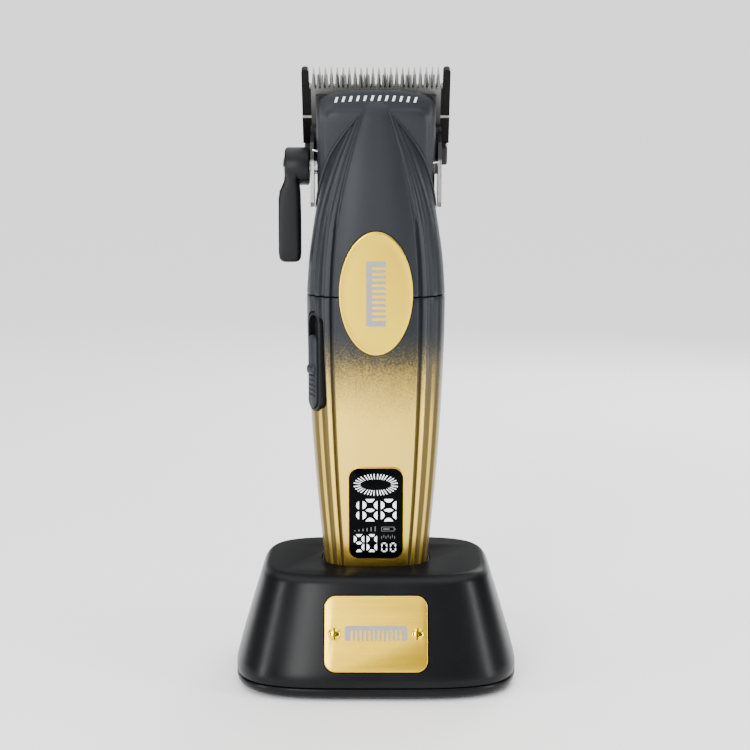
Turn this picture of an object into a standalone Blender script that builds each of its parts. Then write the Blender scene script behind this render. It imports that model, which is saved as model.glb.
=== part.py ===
"""Cordless hair clipper standing in its charging stand.

All sizes are in millimetres; MM turns them into Blender's metres. +Z is up, the badge faces -Y and the skin
side faces +Y. The origin is on the floor under the middle of the stand.
"""

import math

import bmesh
import bpy
from mathutils import Euler, Matrix, Vector

MM = 0.001
GAP = 0.3

# Housing: a tapered, fluted sleeve below the seam and a spear-shaped cover above it.
SEAM_Z = 121.5
SLEEVE_BOTTOM_Z = 17.5
HALF_WIDTH = 21.7
HALF_DEPTH = 18.5
SLEEVE_TAPER_LENGTH = 185.3
SLEEVE_TAPER_POWER = 1.816
DEPTH_TAPER_SHARE = 1.15
SPEAR_LENGTH = 59.5
SPEAR_POWER = 0.625
SPEAR_FRONT_DROP = 0.45
SPEAR_FRONT_POWER = 3.2
SPEAR_BACK_POWER = 2.2
SLEEVE_WALL = 1.6
COVER_WALL = 1.8

# Fittings on the housing's front and side.
BADGE_AT = (0.0, -18.5, 122.9)
BADGE_HALF_SIZE = (11.25, 18.9)
WINDOW_AT = (0.0, -15.0, 53.75)
WINDOW_LEAN = 5.3
WINDOW_SIZE = (16.9, 29.3)
SWITCH_AT = (-18.35, -10.95, 101.05)
SWITCH_TURN = -60.0
COVER_SCREW_AT = (11.0, 132.0)
BATTERY_Y = 1.0

SECTION_POWER = 2.8
FLUTE_START = 0.57
FLUTE_PITCH = 0.14
FLUTE_DEPTH = 0.7

# Head block behind the spear: half width, front face and back face at each height.
BLOCK_HALF_WIDTH = 18.5
BLOCK_POWER = 5.0
BLOCK_FRONT = [(135, -2.0), (143, -2.5), (150, -4.6), (160, -7.4), (168, -9.4), (176, -10.4), (184.5, -8.5)]
BLOCK_BACK = [(135, 14.5), (143, 16.4), (150, 16.2), (155, 15.3), (160, 13.2), (168, 8.5), (176, 4.0), (184.5, -1.0)]
BLOCK_HEIGHTS = (135, 143, 150, 155, 160, 168, 176, 181, 184.5)
SEAT_DEPTH = 3.9
SEAT_WALL = 7.2
COVER_SPLIT_Y = 4.0

# Blade plane: local +Z runs to the tooth tips and local +Y out of the skin side.
BLADE_TIP = (0.0, -5.2, 191.3)
BLADE_TILT = 30.0
FIXED_HALF_WIDTH = 23.0
FIXED_LENGTH = 27.0
FIXED_THICKNESS = 2.2
FIXED_TEETH = 22
TOOTH_PITCH = 1.9
TOOTH_LENGTH = 6.2
CUTTER_HALF_WIDTH = 20.2
CUTTER_TOP = 2.2
CUTTER_BOTTOM = 19.6
CUTTER_TEETH = 21
CUTTER_TOOTH_LENGTH = 4.2
BLADE_SCREW_X = 16.2
BLADE_SCREW_DOWN = 23.5
MOUNT_LENGTH = 34.0
WINDOW_HALF_WIDTH = 13.5

# Taper lever on the left of the head, turning about X.
LEVER_AXIS = (0.0, 161.1)
LEVER_HUB_RADIUS = 5.9
LEVER_SHAFT_RADIUS = 2.2
LEVER_BORE_RADIUS = 2.3
CAM_THROW = 1.57
CAM_PIN_RADIUS = 1.25

# Motor and drive.
MOTOR_Y = -2.75
DRIVE_THROW = 0.9
BEARING_RADIUS = 2.3

# Stand.
STAND_TOP_Z = 36.5
STAND_WALL = 2.4
STAND_PROFILE = [(4.3, 44.2, 38.0), (8.0, 43.6, 37.2), (33.6, 35.9, 27.6), (35.6, 34.6, 26.0), (36.5, 33.4, 24.8)]
STAND_POWER = 3.8
CUP_FLOOR_Z = 14.9
CUP_CLEARANCE = 0.6
CUP_WALL = 1.5
CONTACT_X = 5.0
PLATE_SIZE = (31.6, 23.2)
PLATE_AT = (0.0, -33.0, 20.0)
PLATE_SLOPE = -20.6
PLATE_SCREW_X = 12.7

MATERIALS = {
    "graphite": ((0.055, 0.060, 0.070), 0.45, 0.3),
    "gold_paint": ((0.62, 0.45, 0.18), 0.32, 0.9),
    "gold": ((0.85, 0.66, 0.32), 0.25, 1.0),
    "black_gloss": ((0.012, 0.012, 0.013), 0.15, 0.0),
    "black_plastic": ((0.025, 0.026, 0.028), 0.45, 0.0),
    "black_steel": ((0.02, 0.02, 0.022), 0.3, 0.9),
    "steel": ((0.60, 0.60, 0.58), 0.28, 1.0),
    "chrome": ((0.85, 0.85, 0.86), 0.08, 1.0),
    "rubber": ((0.03, 0.03, 0.03), 0.8, 0.0),
    "board": ((0.02, 0.16, 0.07), 0.5, 0.0),
    "cell_wrap": ((0.05, 0.22, 0.42), 0.4, 0.0),
    "white_plastic": ((0.75, 0.75, 0.72), 0.5, 0.0),
    "glass": ((0.004, 0.004, 0.005), 0.05, 0.0),
}


# ---------------------------------------------------------------- scene helpers


def clear_scene():
    for obj in list(bpy.data.objects):
        bpy.data.objects.remove(obj, do_unlink=True)


def new_collection(name):
    collection = bpy.data.collections.new(name)
    bpy.context.scene.collection.children.link(collection)
    return collection


def make_materials():
    made = {}
    for name, (colour, roughness, metallic) in MATERIALS.items():
        material = bpy.data.materials.new(name)
        material.use_nodes = True
        shader = material.node_tree.nodes["Principled BSDF"]
        shader.inputs["Base Color"].default_value = (*colour, 1.0)
        shader.inputs["Roughness"].default_value = roughness
        shader.inputs["Metallic"].default_value = metallic
        made[name] = material
    return made


clear_scene()
PARTS = new_collection("hair_clipper")
CUTTERS = new_collection("cutters")
LOOKS = make_materials()


def add(name, data, look=None, parent=None, location=(0, 0, 0), rotation=(0, 0, 0)):
    """Places data as a part, or as a hidden cutter when it has no look. Rotation is in degrees."""
    obj = bpy.data.objects.new(name, data)
    obj.parent = parent
    obj.location = Vector(location) * MM
    obj.rotation_euler = Euler([math.radians(a) for a in rotation])
    if look is None:
        CUTTERS.objects.link(obj)
        obj.hide_render = True
        obj.display_type = "WIRE"
    else:
        PARTS.objects.link(obj)
        data.materials.append(LOOKS[look])
    return obj


def frame_at(name, location, rotation=(0, 0, 0)):
    """An empty that carries the pieces built in its own directions."""
    empty = bpy.data.objects.new(name, None)
    empty.location = Vector(location) * MM
    empty.rotation_euler = Euler([math.radians(a) for a in rotation])
    PARTS.objects.link(empty)
    return empty


def boolean(obj, other, operation="DIFFERENCE"):
    modifier = obj.modifiers.new(f"{operation.lower()}_{other.name}", "BOOLEAN")
    modifier.operation = operation
    modifier.object = other
    modifier.solver = "EXACT"
    return obj


def bevel(obj, width, segments=1, angle=40.0):
    modifier = obj.modifiers.new("bevel", "BEVEL")
    modifier.width = width * MM
    modifier.segments = segments
    modifier.limit_method = "ANGLE"
    modifier.angle_limit = math.radians(angle)
    return obj


# ---------------------------------------------------------------- mesh makers


def finish_mesh(name, bm, smooth=False):
    bmesh.ops.scale(bm, vec=(MM, MM, MM), verts=bm.verts)
    mesh = bpy.data.meshes.new(name)
    bm.to_mesh(mesh)
    bm.free()
    if smooth:
        mesh.shade_smooth()
        mesh.set_sharp_from_angle(angle=math.radians(35))
    return mesh


def box(low, high):
    """A box between two corners."""
    bm = bmesh.new()
    bmesh.ops.create_cube(bm, size=1.0)
    low, high = Vector(low), Vector(high)
    bmesh.ops.scale(bm, vec=high - low, verts=bm.verts)
    bmesh.ops.translate(bm, vec=(low + high) / 2, verts=bm.verts)
    return finish_mesh("box", bm)


def cylinder(radius, start, end, segments=24, top_radius=None):
    """A cylinder or cone between two points."""
    start, end = Vector(start), Vector(end)
    axis = end - start
    bm = bmesh.new()
    bmesh.ops.create_cone(
        bm,
        cap_ends=True,
        segments=segments,
        radius1=radius,
        radius2=radius if top_radius is None else top_radius,
        depth=axis.length,
    )
    turn = axis.to_track_quat("Z", "Y").to_matrix().to_4x4()
    bmesh.ops.transform(bm, matrix=Matrix.Translation((start + end) / 2) @ turn, verts=bm.verts)
    return finish_mesh("cylinder", bm, smooth=True)


def plate(outline, thickness, plane="XZ"):
    """A flat outline, given as (across, up) points, thickened evenly to both sides of its plane."""
    curve = bpy.data.curves.new("outline", "CURVE")
    curve.dimensions = "2D"
    curve.fill_mode = "BOTH"
    curve.extrude = thickness / 2 * MM
    spline = curve.splines.new("POLY")
    spline.points.add(len(outline) - 1)
    for point, (across, up) in zip(spline.points, outline):
        point.co = (across * MM, up * MM, 0.0, 1.0)
    spline.use_cyclic_u = True
    guide = bpy.data.objects.new("outline_guide", curve)
    CUTTERS.objects.link(guide)
    graph = bpy.context.evaluated_depsgraph_get()
    mesh = bpy.data.meshes.new_from_object(guide.evaluated_get(graph))
    bpy.data.objects.remove(guide)
    bm = bmesh.new()
    bm.from_mesh(mesh)
    bmesh.ops.remove_doubles(bm, verts=bm.verts, dist=1e-6)
    turns = {"XZ": (90, 0, 0), "YZ": (90, 0, 90), "XY": (0, 0, 0)}[plane]
    turn = Euler([math.radians(a) for a in turns]).to_matrix().to_4x4()
    bmesh.ops.transform(bm, matrix=turn, verts=bm.verts)
    bmesh.ops.recalc_face_normals(bm, faces=bm.faces)
    bm.to_mesh(mesh)
    bm.free()
    return mesh


def add_turned(name, profile, look, steps=24, **place):
    """Turns a (radius, height) profile about Z. A profile clear of the axis is closed into a ring."""
    points = [(r * MM, 0.0, z * MM) for r, z in profile]
    edges = [(i, i + 1) for i in range(len(points) - 1)]
    if all(r > 0 for r, _ in profile):
        edges.append((len(points) - 1, 0))
    mesh = bpy.data.meshes.new("profile")
    mesh.from_pydata(points, edges, [])
    obj = add(name, mesh, look, **place)
    screw = obj.modifiers.new("turn", "SCREW")
    screw.steps = steps
    screw.render_steps = steps
    screw.use_merge_vertices = True
    screw.merge_threshold = 0.00001
    screw.use_smooth_shade = True
    return obj


def loft(rings):
    """A closed body through rings that all have the same number of points, listed upwards."""
    bm = bmesh.new()
    rows = [[bm.verts.new(point) for point in ring] for ring in rings]
    count = len(rows[0])
    for lower, upper in zip(rows, rows[1:]):
        for i in range(count):
            j = (i + 1) % count
            bm.faces.new((lower[i], lower[j], upper[j], upper[i]))
    bm.faces.new(list(reversed(rows[0])))
    bm.faces.new(rows[-1])
    return finish_mesh("loft", bm, smooth=True)


# ---------------------------------------------------------------- housing shape


def between(table, z):
    """Straight-line reading of a (height, value) table."""
    if z <= table[0][0]:
        return table[0][1]
    for (z0, v0), (z1, v1) in zip(table, table[1:]):
        if z <= z1:
            return v0 + (v1 - v0) * (z - z0) / (z1 - z0)
    return table[-1][1]


def spear_share(z):
    return min(max((z - SEAM_Z) / SPEAR_LENGTH, 0.0), 1.0)


def sleeve_taper(z):
    return (max(SEAM_Z - z, 0.0) / SLEEVE_TAPER_LENGTH) ** SLEEVE_TAPER_POWER


def body_half_width(z):
    if z > SEAM_Z:
        return HALF_WIDTH * (1 - spear_share(z) ** 2) ** SPEAR_POWER
    return HALF_WIDTH * (1 - sleeve_taper(z))


def body_front(z):
    """How far the front face stands from the axis."""
    if z > SEAM_Z:
        return HALF_DEPTH * (1 - SPEAR_FRONT_DROP * spear_share(z) ** SPEAR_FRONT_POWER)
    return HALF_DEPTH * (1 - DEPTH_TAPER_SHARE * sleeve_taper(z))


def body_back(z):
    """How far the back face stands from the axis; above the block's foot it draws in and hides in the block."""
    if z > SEAM_Z:
        return HALF_DEPTH * (1 - 0.9 * spear_share(z) ** SPEAR_BACK_POWER)
    return HALF_DEPTH * (1 - DEPTH_TAPER_SHARE * sleeve_taper(z))


def flute(share):
    """Depth of the flutes at a share of the half width: three grooves towards each side."""
    if not FLUTE_START < share < FLUTE_START + 3 * FLUTE_PITCH - 0.001:
        return 0.0
    return FLUTE_DEPTH * math.sin(math.pi * (share - FLUTE_START) / FLUTE_PITCH) ** 2


def oval_point(angle, half_width, front, back, power):
    c, s = math.cos(angle), math.sin(angle)
    x = half_width * math.copysign(abs(c) ** (2 / power), c)
    y = (back if s > 0 else front) * math.copysign(abs(s) ** (2 / power), s)
    return x, y


def flute_angles():
    """Angles with a point on each ridge and in each groove of the front, and even steps round the back."""
    side = [0.3] + [FLUTE_START + FLUTE_PITCH * i / 2 for i in range(7)]
    shares = [-share for share in reversed(side)] + [0.0] + side
    cosines = (math.copysign(abs(share) ** (SECTION_POWER / 2), share) for share in shares)
    return [math.pi * i / 12 for i in range(13)] + [2 * math.pi - math.acos(c) for c in cosines]


def body_ring(z, inset=0.0, count=32, fluted=True):
    """One section of the sleeve or the spear, drawn in evenly by inset."""
    half_width = max(body_half_width(z) - inset, 0.5)
    front, back = body_front(z) - inset, body_back(z) - inset
    angles = flute_angles() if fluted else [2 * math.pi * i / count for i in range(count)]
    ring = []
    for angle in angles:
        x, y = oval_point(angle, half_width, front, back, SECTION_POWER)
        depth = flute(abs(x) / half_width) * half_width / HALF_WIDTH if fluted and y < 0 else 0.0
        normal = Vector((x / half_width**2, y / (back if y > 0 else front) ** 2, 0)).normalized()
        ring.append((x - normal.x * depth, y - normal.y * depth, z))
    return ring


def block_ring(z, inset=0.0, back_inset=0.0, count=40):
    front, back = between(BLOCK_FRONT, z) + inset, between(BLOCK_BACK, z) - back_inset
    middle, half_depth = (front + back) / 2, (back - front) / 2
    corner = 1.0 - 0.12 * max(z - 181.0, 0.0) / 3.5
    half_width = BLOCK_HALF_WIDTH * corner - inset
    angles = (2 * math.pi * i / count for i in range(count))
    points = (oval_point(a, half_width, half_depth, half_depth, BLOCK_POWER) for a in angles)
    return [(x, y + middle, z) for x, y in points]


def heights(low, high, count):
    return [low + (high - low) * i / (count - 1) for i in range(count)]


def stand_ring(z, inset=0.0, count=48):
    half_width = between([(height, width) for height, width, _ in STAND_PROFILE], z) - inset
    half_depth = between([(height, depth) for height, _, depth in STAND_PROFILE], z) - inset
    angles = (2 * math.pi * i / count for i in range(count))
    return [(*oval_point(a, half_width, half_depth, half_depth, STAND_POWER), z) for a in angles]


def rounded_rectangle(width, height, radius, corner_points=5):
    outline = []
    for centre_x, centre_y, start in ((1, 1, 0), (-1, 1, 90), (-1, -1, 180), (1, -1, 270)):
        for i in range(corner_points):
            angle = math.radians(start + 90 * i / (corner_points - 1))
            x = centre_x * (width / 2 - radius) + radius * math.cos(angle)
            y = centre_y * (height / 2 - radius) + radius * math.sin(angle)
            outline.append((x, y))
    return outline


def oval(half_width, half_height, count=40):
    angles = (2 * math.pi * i / count for i in range(count))
    return [(half_width * math.cos(a), half_height * math.sin(a)) for a in angles]


def stadium(width, height, corner_points=6):
    return rounded_rectangle(width, height, width / 2 - 0.01, corner_points)


def comb(half_width, length, teeth, pitch, tooth_length, gap, corner):
    """A blade outline: square behind, teeth along the top edge at height 0."""
    first = -teeth * pitch / 2
    outline = [(-half_width, -length), (half_width, -length), (half_width, -corner), (half_width - corner, 0)]
    for i in range(teeth - 1, 0, -1):
        middle = first + i * pitch
        outline += [(middle + gap / 2 + 0.12, 0), (middle + gap / 2, -tooth_length)]
        outline += [(middle - gap / 2, -tooth_length), (middle - gap / 2 - 0.12, 0)]
    return outline + [(-half_width + corner, 0), (-half_width, -corner)]


# ---------------------------------------------------------------- stand


def build_stand():
    outer = [stand_ring(z) for z, _, _ in STAND_PROFILE]
    shell = add("stand_shell", loft(outer), "black_gloss")
    hollow_top = STAND_TOP_Z - STAND_WALL
    hollow = [stand_ring(z, STAND_WALL, 32) for z in (4.3, 8.0, 33.6, hollow_top)]
    hollow = [[(x, y, z if z > 5 else 3.0) for x, y, z in ring] for ring in hollow]
    boolean(shell, add("stand_hollow", loft(hollow)))

    cup_out = CUP_CLEARANCE + CUP_WALL
    cup_top, cup_low = STAND_TOP_Z + 0.6, CUP_FLOOR_Z - CUP_WALL
    hole = [body_ring(z, -cup_out - GAP, fluted=False) for z in (30, 40)]
    boolean(shell, add("cup_hole", loft(hole)))
    levels = (cup_low, 26, cup_top)
    cup = add("stand_cup", loft([body_ring(z, -cup_out, fluted=False) for z in levels]), "black_plastic")
    rim = [body_ring(STAND_TOP_Z, -cup_out - 1.4, fluted=False) for _ in range(2)]
    rim = [[(x, y, z + rise) for x, y, z in ring] for ring, rise in zip(rim, (0.1, 0.6))]
    boolean(cup, add("cup_rim", loft(rim)), "UNION")
    inside = [body_ring(z, -CUP_CLEARANCE, fluted=False) for z in (CUP_FLOOR_Z, 26, cup_top + 1)]
    boolean(cup, add("cup_inside", loft(inside)))

    base_rings = [(0.8, 0.9), (1.7, 0.0), (4.0, 0.0)]
    base = [[(x, y, z) for x, y, _ in stand_ring(4.3, inset, 40)] for z, inset in base_rings]
    base = add("base_plate", loft(base), "black_plastic")
    for number, (x, y) in enumerate(((-30, -23), (30, -23), (-30, 23), (30, 23)), 1):
        boolean(base, add(f"foot_pocket_{number}", cylinder(5.3, (x, y, 0), (x, y, 2.0), 20)))
        add(f"rubber_foot_{number}", cylinder(4.7, (x, y, 0), (x, y, 1.9), 20, 5.0), "rubber")
    for side, x in (("left", -36.0), ("right", 36.0)):
        boolean(base, add(f"base_hole_{side}", cylinder(1.5, (x, 0, 0), (x, 0, 5), 16)))
        boolean(base, add(f"base_sink_{side}", cylinder(2.9, (x, 0, 0), (x, 0, 2.2), 16)))
        post = cylinder(3.2, (x, 0, 4.3), (x, 0, 20), 16)
        boolean(shell, add(f"screw_post_{side}", post), "UNION")
        boolean(shell, add(f"post_bore_{side}", cylinder(1.5, (x, 0, 4), (x, 0, 13), 16)))
        screw = add(f"base_screw_{side}", cylinder(1.3, (x, 0, 1.2), (x, 0, 12), 12), "steel")
        boolean(screw, add(f"base_head_{side}", cylinder(2.6, (x, 0, 1.0), (x, 0, 1.9), 16)), "UNION")

    pocket_frame = frame_at("plate_frame", PLATE_AT, (PLATE_SLOPE, 0, 0))
    width, height = PLATE_SIZE
    pocket = plate(rounded_rectangle(width + 2 * GAP, height + 2 * GAP, 3.8), 4.0)
    boolean(shell, add("plate_pocket", pocket, parent=pocket_frame, location=(0, -0.9, 0)))
    name_plate = plate(rounded_rectangle(width, height, 3.5), 1.2)
    name_plate = bevel(add("name_plate", name_plate, "gold", parent=pocket_frame, location=(0, 0.1, 0)), 0.25)
    for side, x in (("left", -PLATE_SCREW_X), ("right", PLATE_SCREW_X)):
        hole = add(f"plate_hole_{side}", cylinder(1.2, (x, -2, 0), (x, 6, 0), 16), parent=pocket_frame)
        boolean(name_plate, hole)
        boolean(shell, hole)
        screw = add(f"plate_screw_{side}", cylinder(0.95, (x, -1.0, 0), (x, 4, 0), 12), "gold", parent=pocket_frame)
        head = bevel(add(f"plate_head_{side}", cylinder(2.0, (x, -1.5, 0), (x, -0.7, 0), 20)), 0.2)
        head.parent = pocket_frame
        boolean(screw, head, "UNION")
        slot = add(f"plate_slot_{side}", box((x - 0.3, -2, -3), (x + 0.3, -1.15, 3)), parent=pocket_frame)
        boolean(screw, slot)

    add("ballast", box((-22, 12, 4.4), (22, 27, 10.5)), "steel")
    add("stand_board", box((-12, -9, 5.0), (12, 9, 6.5)), "board")
    for side, x in (("left", -CONTACT_X), ("right", CONTACT_X)):
        boolean(cup, add(f"post_hole_{side}", cylinder(1.0, (x, 0, 10), (x, 0, 17), 16)))
        post = cylinder(0.8, (x, 0, 6.6), (x, 0, 15.9), 12)
        add(f"charge_post_{side}", post, "gold")

    boolean(shell, add("inlet_opening", box((-6.3, 30, 6.0), (6.3, 42, 12.6))))
    inlet = bevel(add("power_inlet", box((-6, 27.5, 6.3), (6, 36.8, 12.3)), "black_plastic"), 0.4)
    socket = add("inlet_socket", plate(stadium(3.4, 9.4), 8.0, "XZ"), rotation=(0, 90, 0), location=(0, 35, 9.3))
    boolean(inlet, socket)


# ---------------------------------------------------------------- housing


def build_housing():
    sleeve_levels = heights(SLEEVE_BOTTOM_Z, SEAM_Z, 10)
    sleeve = add("lower_sleeve", loft([body_ring(z) for z in sleeve_levels]), "gold_paint")
    inner_levels = heights(SLEEVE_BOTTOM_Z - 1.5, SEAM_Z + 0.05, 5)
    inner = [body_ring(z, SLEEVE_WALL, 28, fluted=False) for z in inner_levels]
    inner.append([(x, y, z + 2) for x, y, z in inner[-1]])
    boolean(sleeve, add("sleeve_inside", loft(inner)))

    cap = [body_ring(SLEEVE_BOTTOM_Z, inset, fluted=False) for inset in (1.6, 0.6, 0.4)]
    cap = [[(x, y, z) for x, y, _ in ring] for ring, z in zip(cap, (15.2, 16.0, 17.2))]
    cap = add("bottom_cap", loft(cap), "black_plastic")
    plug = [body_ring(SLEEVE_BOTTOM_Z, SLEEVE_WALL + GAP, 32, fluted=False) for _ in range(2)]
    plug = [[(x, y, z) for x, y, _ in ring] for ring, z in zip(plug, (16.5, 22.0))]
    boolean(cap, add("cap_plug", loft(plug)), "UNION")
    well = [[(0.8 * x, 0.8 * y, level) for x, y, _ in ring] for ring, level in zip(plug, (19.0, 23.0))]
    boolean(cap, add("cap_well", loft(well)))
    for side, x in (("left", -CONTACT_X), ("right", CONTACT_X)):
        boolean(cap, add(f"pad_hole_{side}", cylinder(1.9, (x, 0, 15), (x, 0, 20), 16)))
        add(f"charge_pad_{side}", cylinder(1.7, (x, 0, 16.2), (x, 0, 19.6), 16), "gold")

    outer_levels = [SEAM_Z + GAP] + heights(128, SEAM_Z + SPEAR_LENGTH, 9)
    spear = loft([body_ring(z) for z in outer_levels])
    block = add("block_outside", loft([block_ring(z) for z in BLOCK_HEIGHTS]))
    spear_levels = heights(128, SEAM_Z + SPEAR_LENGTH - 5.0, 6)
    spear_in = [body_ring(z, COVER_WALL, 28, fluted=False) for z in spear_levels]
    spear_in.insert(0, [(x, y, 120.0) for x, y, _ in body_ring(SEAM_Z + 1, COVER_WALL, 28, fluted=False)])
    spear_in = add("spear_inside", loft(spear_in))
    block_in = [block_ring(z, COVER_WALL, SEAT_WALL, 32) for z in (137, 150, 160, 168, 176, 181)]
    block_in = add("block_inside", loft(block_in))

    blade = frame_at("blade_frame", BLADE_TIP, (BLADE_TILT, 0, 0))
    seat = add("seat_cut", box((-30, -SEAT_DEPTH, -36.6), (30, 30, 20)), parent=blade)
    opening = add("seat_opening", box((-WINDOW_HALF_WIDTH, -9, -33.5), (WINDOW_HALF_WIDTH, 3, -10)), parent=blade)
    bore = cylinder(LEVER_BORE_RADIUS, (-24, *LEVER_AXIS), (-12, *LEVER_AXIS), 24)
    bore = add("lever_bore", bore)
    screw_x, screw_z = COVER_SCREW_AT
    rear_holes = [
        add("cover_screw_hole_left", cylinder(1.5, (-screw_x, 6, screw_z), (-screw_x, 22, screw_z), 16)),
        add("cover_screw_hole_right", cylinder(1.5, (screw_x, 6, screw_z), (screw_x, 22, screw_z), 16)),
    ]
    keep = {"front": box((-40, COVER_SPLIT_Y - GAP / 2, 100), (40, 60, 200))}
    keep["rear"] = box((-40, -60, 100), (40, COVER_SPLIT_Y + GAP / 2, 200))
    for side in ("front", "rear"):
        cover = add(f"cover_{side}", spear.copy(), "graphite")
        boolean(cover, block, "UNION")
        boolean(cover, spear_in)
        boolean(cover, block_in)
        boolean(cover, seat)
        boolean(cover, opening)
        boolean(cover, add(f"keep_{side}", keep[side]))
        if side == "front":
            boolean(cover, bore)
        else:
            for hole in rear_holes:
                boolean(cover, hole)

    pocket_size = [half + GAP for half in BADGE_HALF_SIZE]
    badge_pocket = add("badge_pocket", plate(oval(*pocket_size), 4.0), location=(0, -19.6, BADGE_AT[2]))
    boolean(sleeve, badge_pocket)
    boolean(bpy.data.objects["cover_front"], badge_pocket)
    bevel(add("oval_badge", plate(oval(*BADGE_HALF_SIZE), 1.3), "gold", location=BADGE_AT), 0.35)

    window = frame_at("window_frame", WINDOW_AT, (WINDOW_LEAN, 0, 0))
    width, height = WINDOW_SIZE
    hole = plate(rounded_rectangle(width + 2 * GAP, height + 2 * GAP, 3.3), 8.0)
    boolean(sleeve, add("window_hole", hole, parent=window))
    pane = plate(rounded_rectangle(width, height, 3.0), 1.8)
    bevel(add("display_window", pane, "glass", parent=window, location=(0, 0.45, 0)), 0.3)
    add("display_board", box((-7.6, 3.0, -14), (7.6, 4.2, 14)), "board", parent=window)

    add("battery_cell", cylinder(9.1, (0, BATTERY_Y, 28), (0, BATTERY_Y, 93), 28), "cell_wrap")
    ring = [(9.5, 88), (10.6, 88), (10.6, 54), (9.5, 54)]
    add_turned("battery_holder", ring, "white_plastic", 28, location=(0, BATTERY_Y, 0))
    add("main_board", box((-9, -12.6, 71), (9, -11.2, 95)), "board")
    for side, x in (("left", -screw_x), ("right", screw_x)):
        screw = add(f"cover_screw_{side}", cylinder(1.3, (x, 9, screw_z), (x, 17.5, screw_z), 12), "steel")
        head = cylinder(1.42, (x, 16, screw_z), (x, 17.8, screw_z), 12)
        boolean(screw, add(f"cover_head_{side}", head), "UNION")


def build_switch():
    side = frame_at("switch_frame_axes", SWITCH_AT, (0, 0, SWITCH_TURN))
    sleeve = bpy.data.objects["lower_sleeve"]
    hole = add("switch_hole", plate(stadium(7.6 + 2 * GAP, 31.1 + 2 * GAP), 9.0), parent=side)
    boolean(sleeve, hole)
    surround = add("switch_surround", plate(stadium(7.6, 31.1), 2.4), "black_plastic", parent=side)
    boolean(surround, add("switch_slot", plate(stadium(5.9, 29.5), 6.0), parent=side))
    slider = add("power_slider", plate(stadium(5.3, 23.0), 2.2), "black_plastic", parent=side)
    slider.location = Vector((0, -0.3, -3.0)) * MM
    for number, height in enumerate((-10.5, -9, -7.5, -6, -4.5), 1):
        rib = box((-2.0, -1.9, height), (2.0, -0.9, height + 0.7))
        boolean(slider, add(f"slider_rib_{number}", rib, parent=side), "UNION")
    bump = cylinder(1.6, (-2.3, -1.0, -2.2), (2.3, -1.0, -2.2), 16)
    boolean(slider, add("slider_bump", bump, parent=side), "UNION")
    boolean(slider, add("slider_stem", box((-1, 0, -5), (1, 3.6, -2)), parent=side), "UNION")
    unit = add("switch_unit", box((-3.4, 2.0, -9), (3.4, 7.0, 9)), "black_plastic", parent=side)
    boolean(unit, add("switch_channel", box((-1.3, 1.0, -5.6), (1.3, 4.4, 5.2)), parent=side))


# ---------------------------------------------------------------- head


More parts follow.
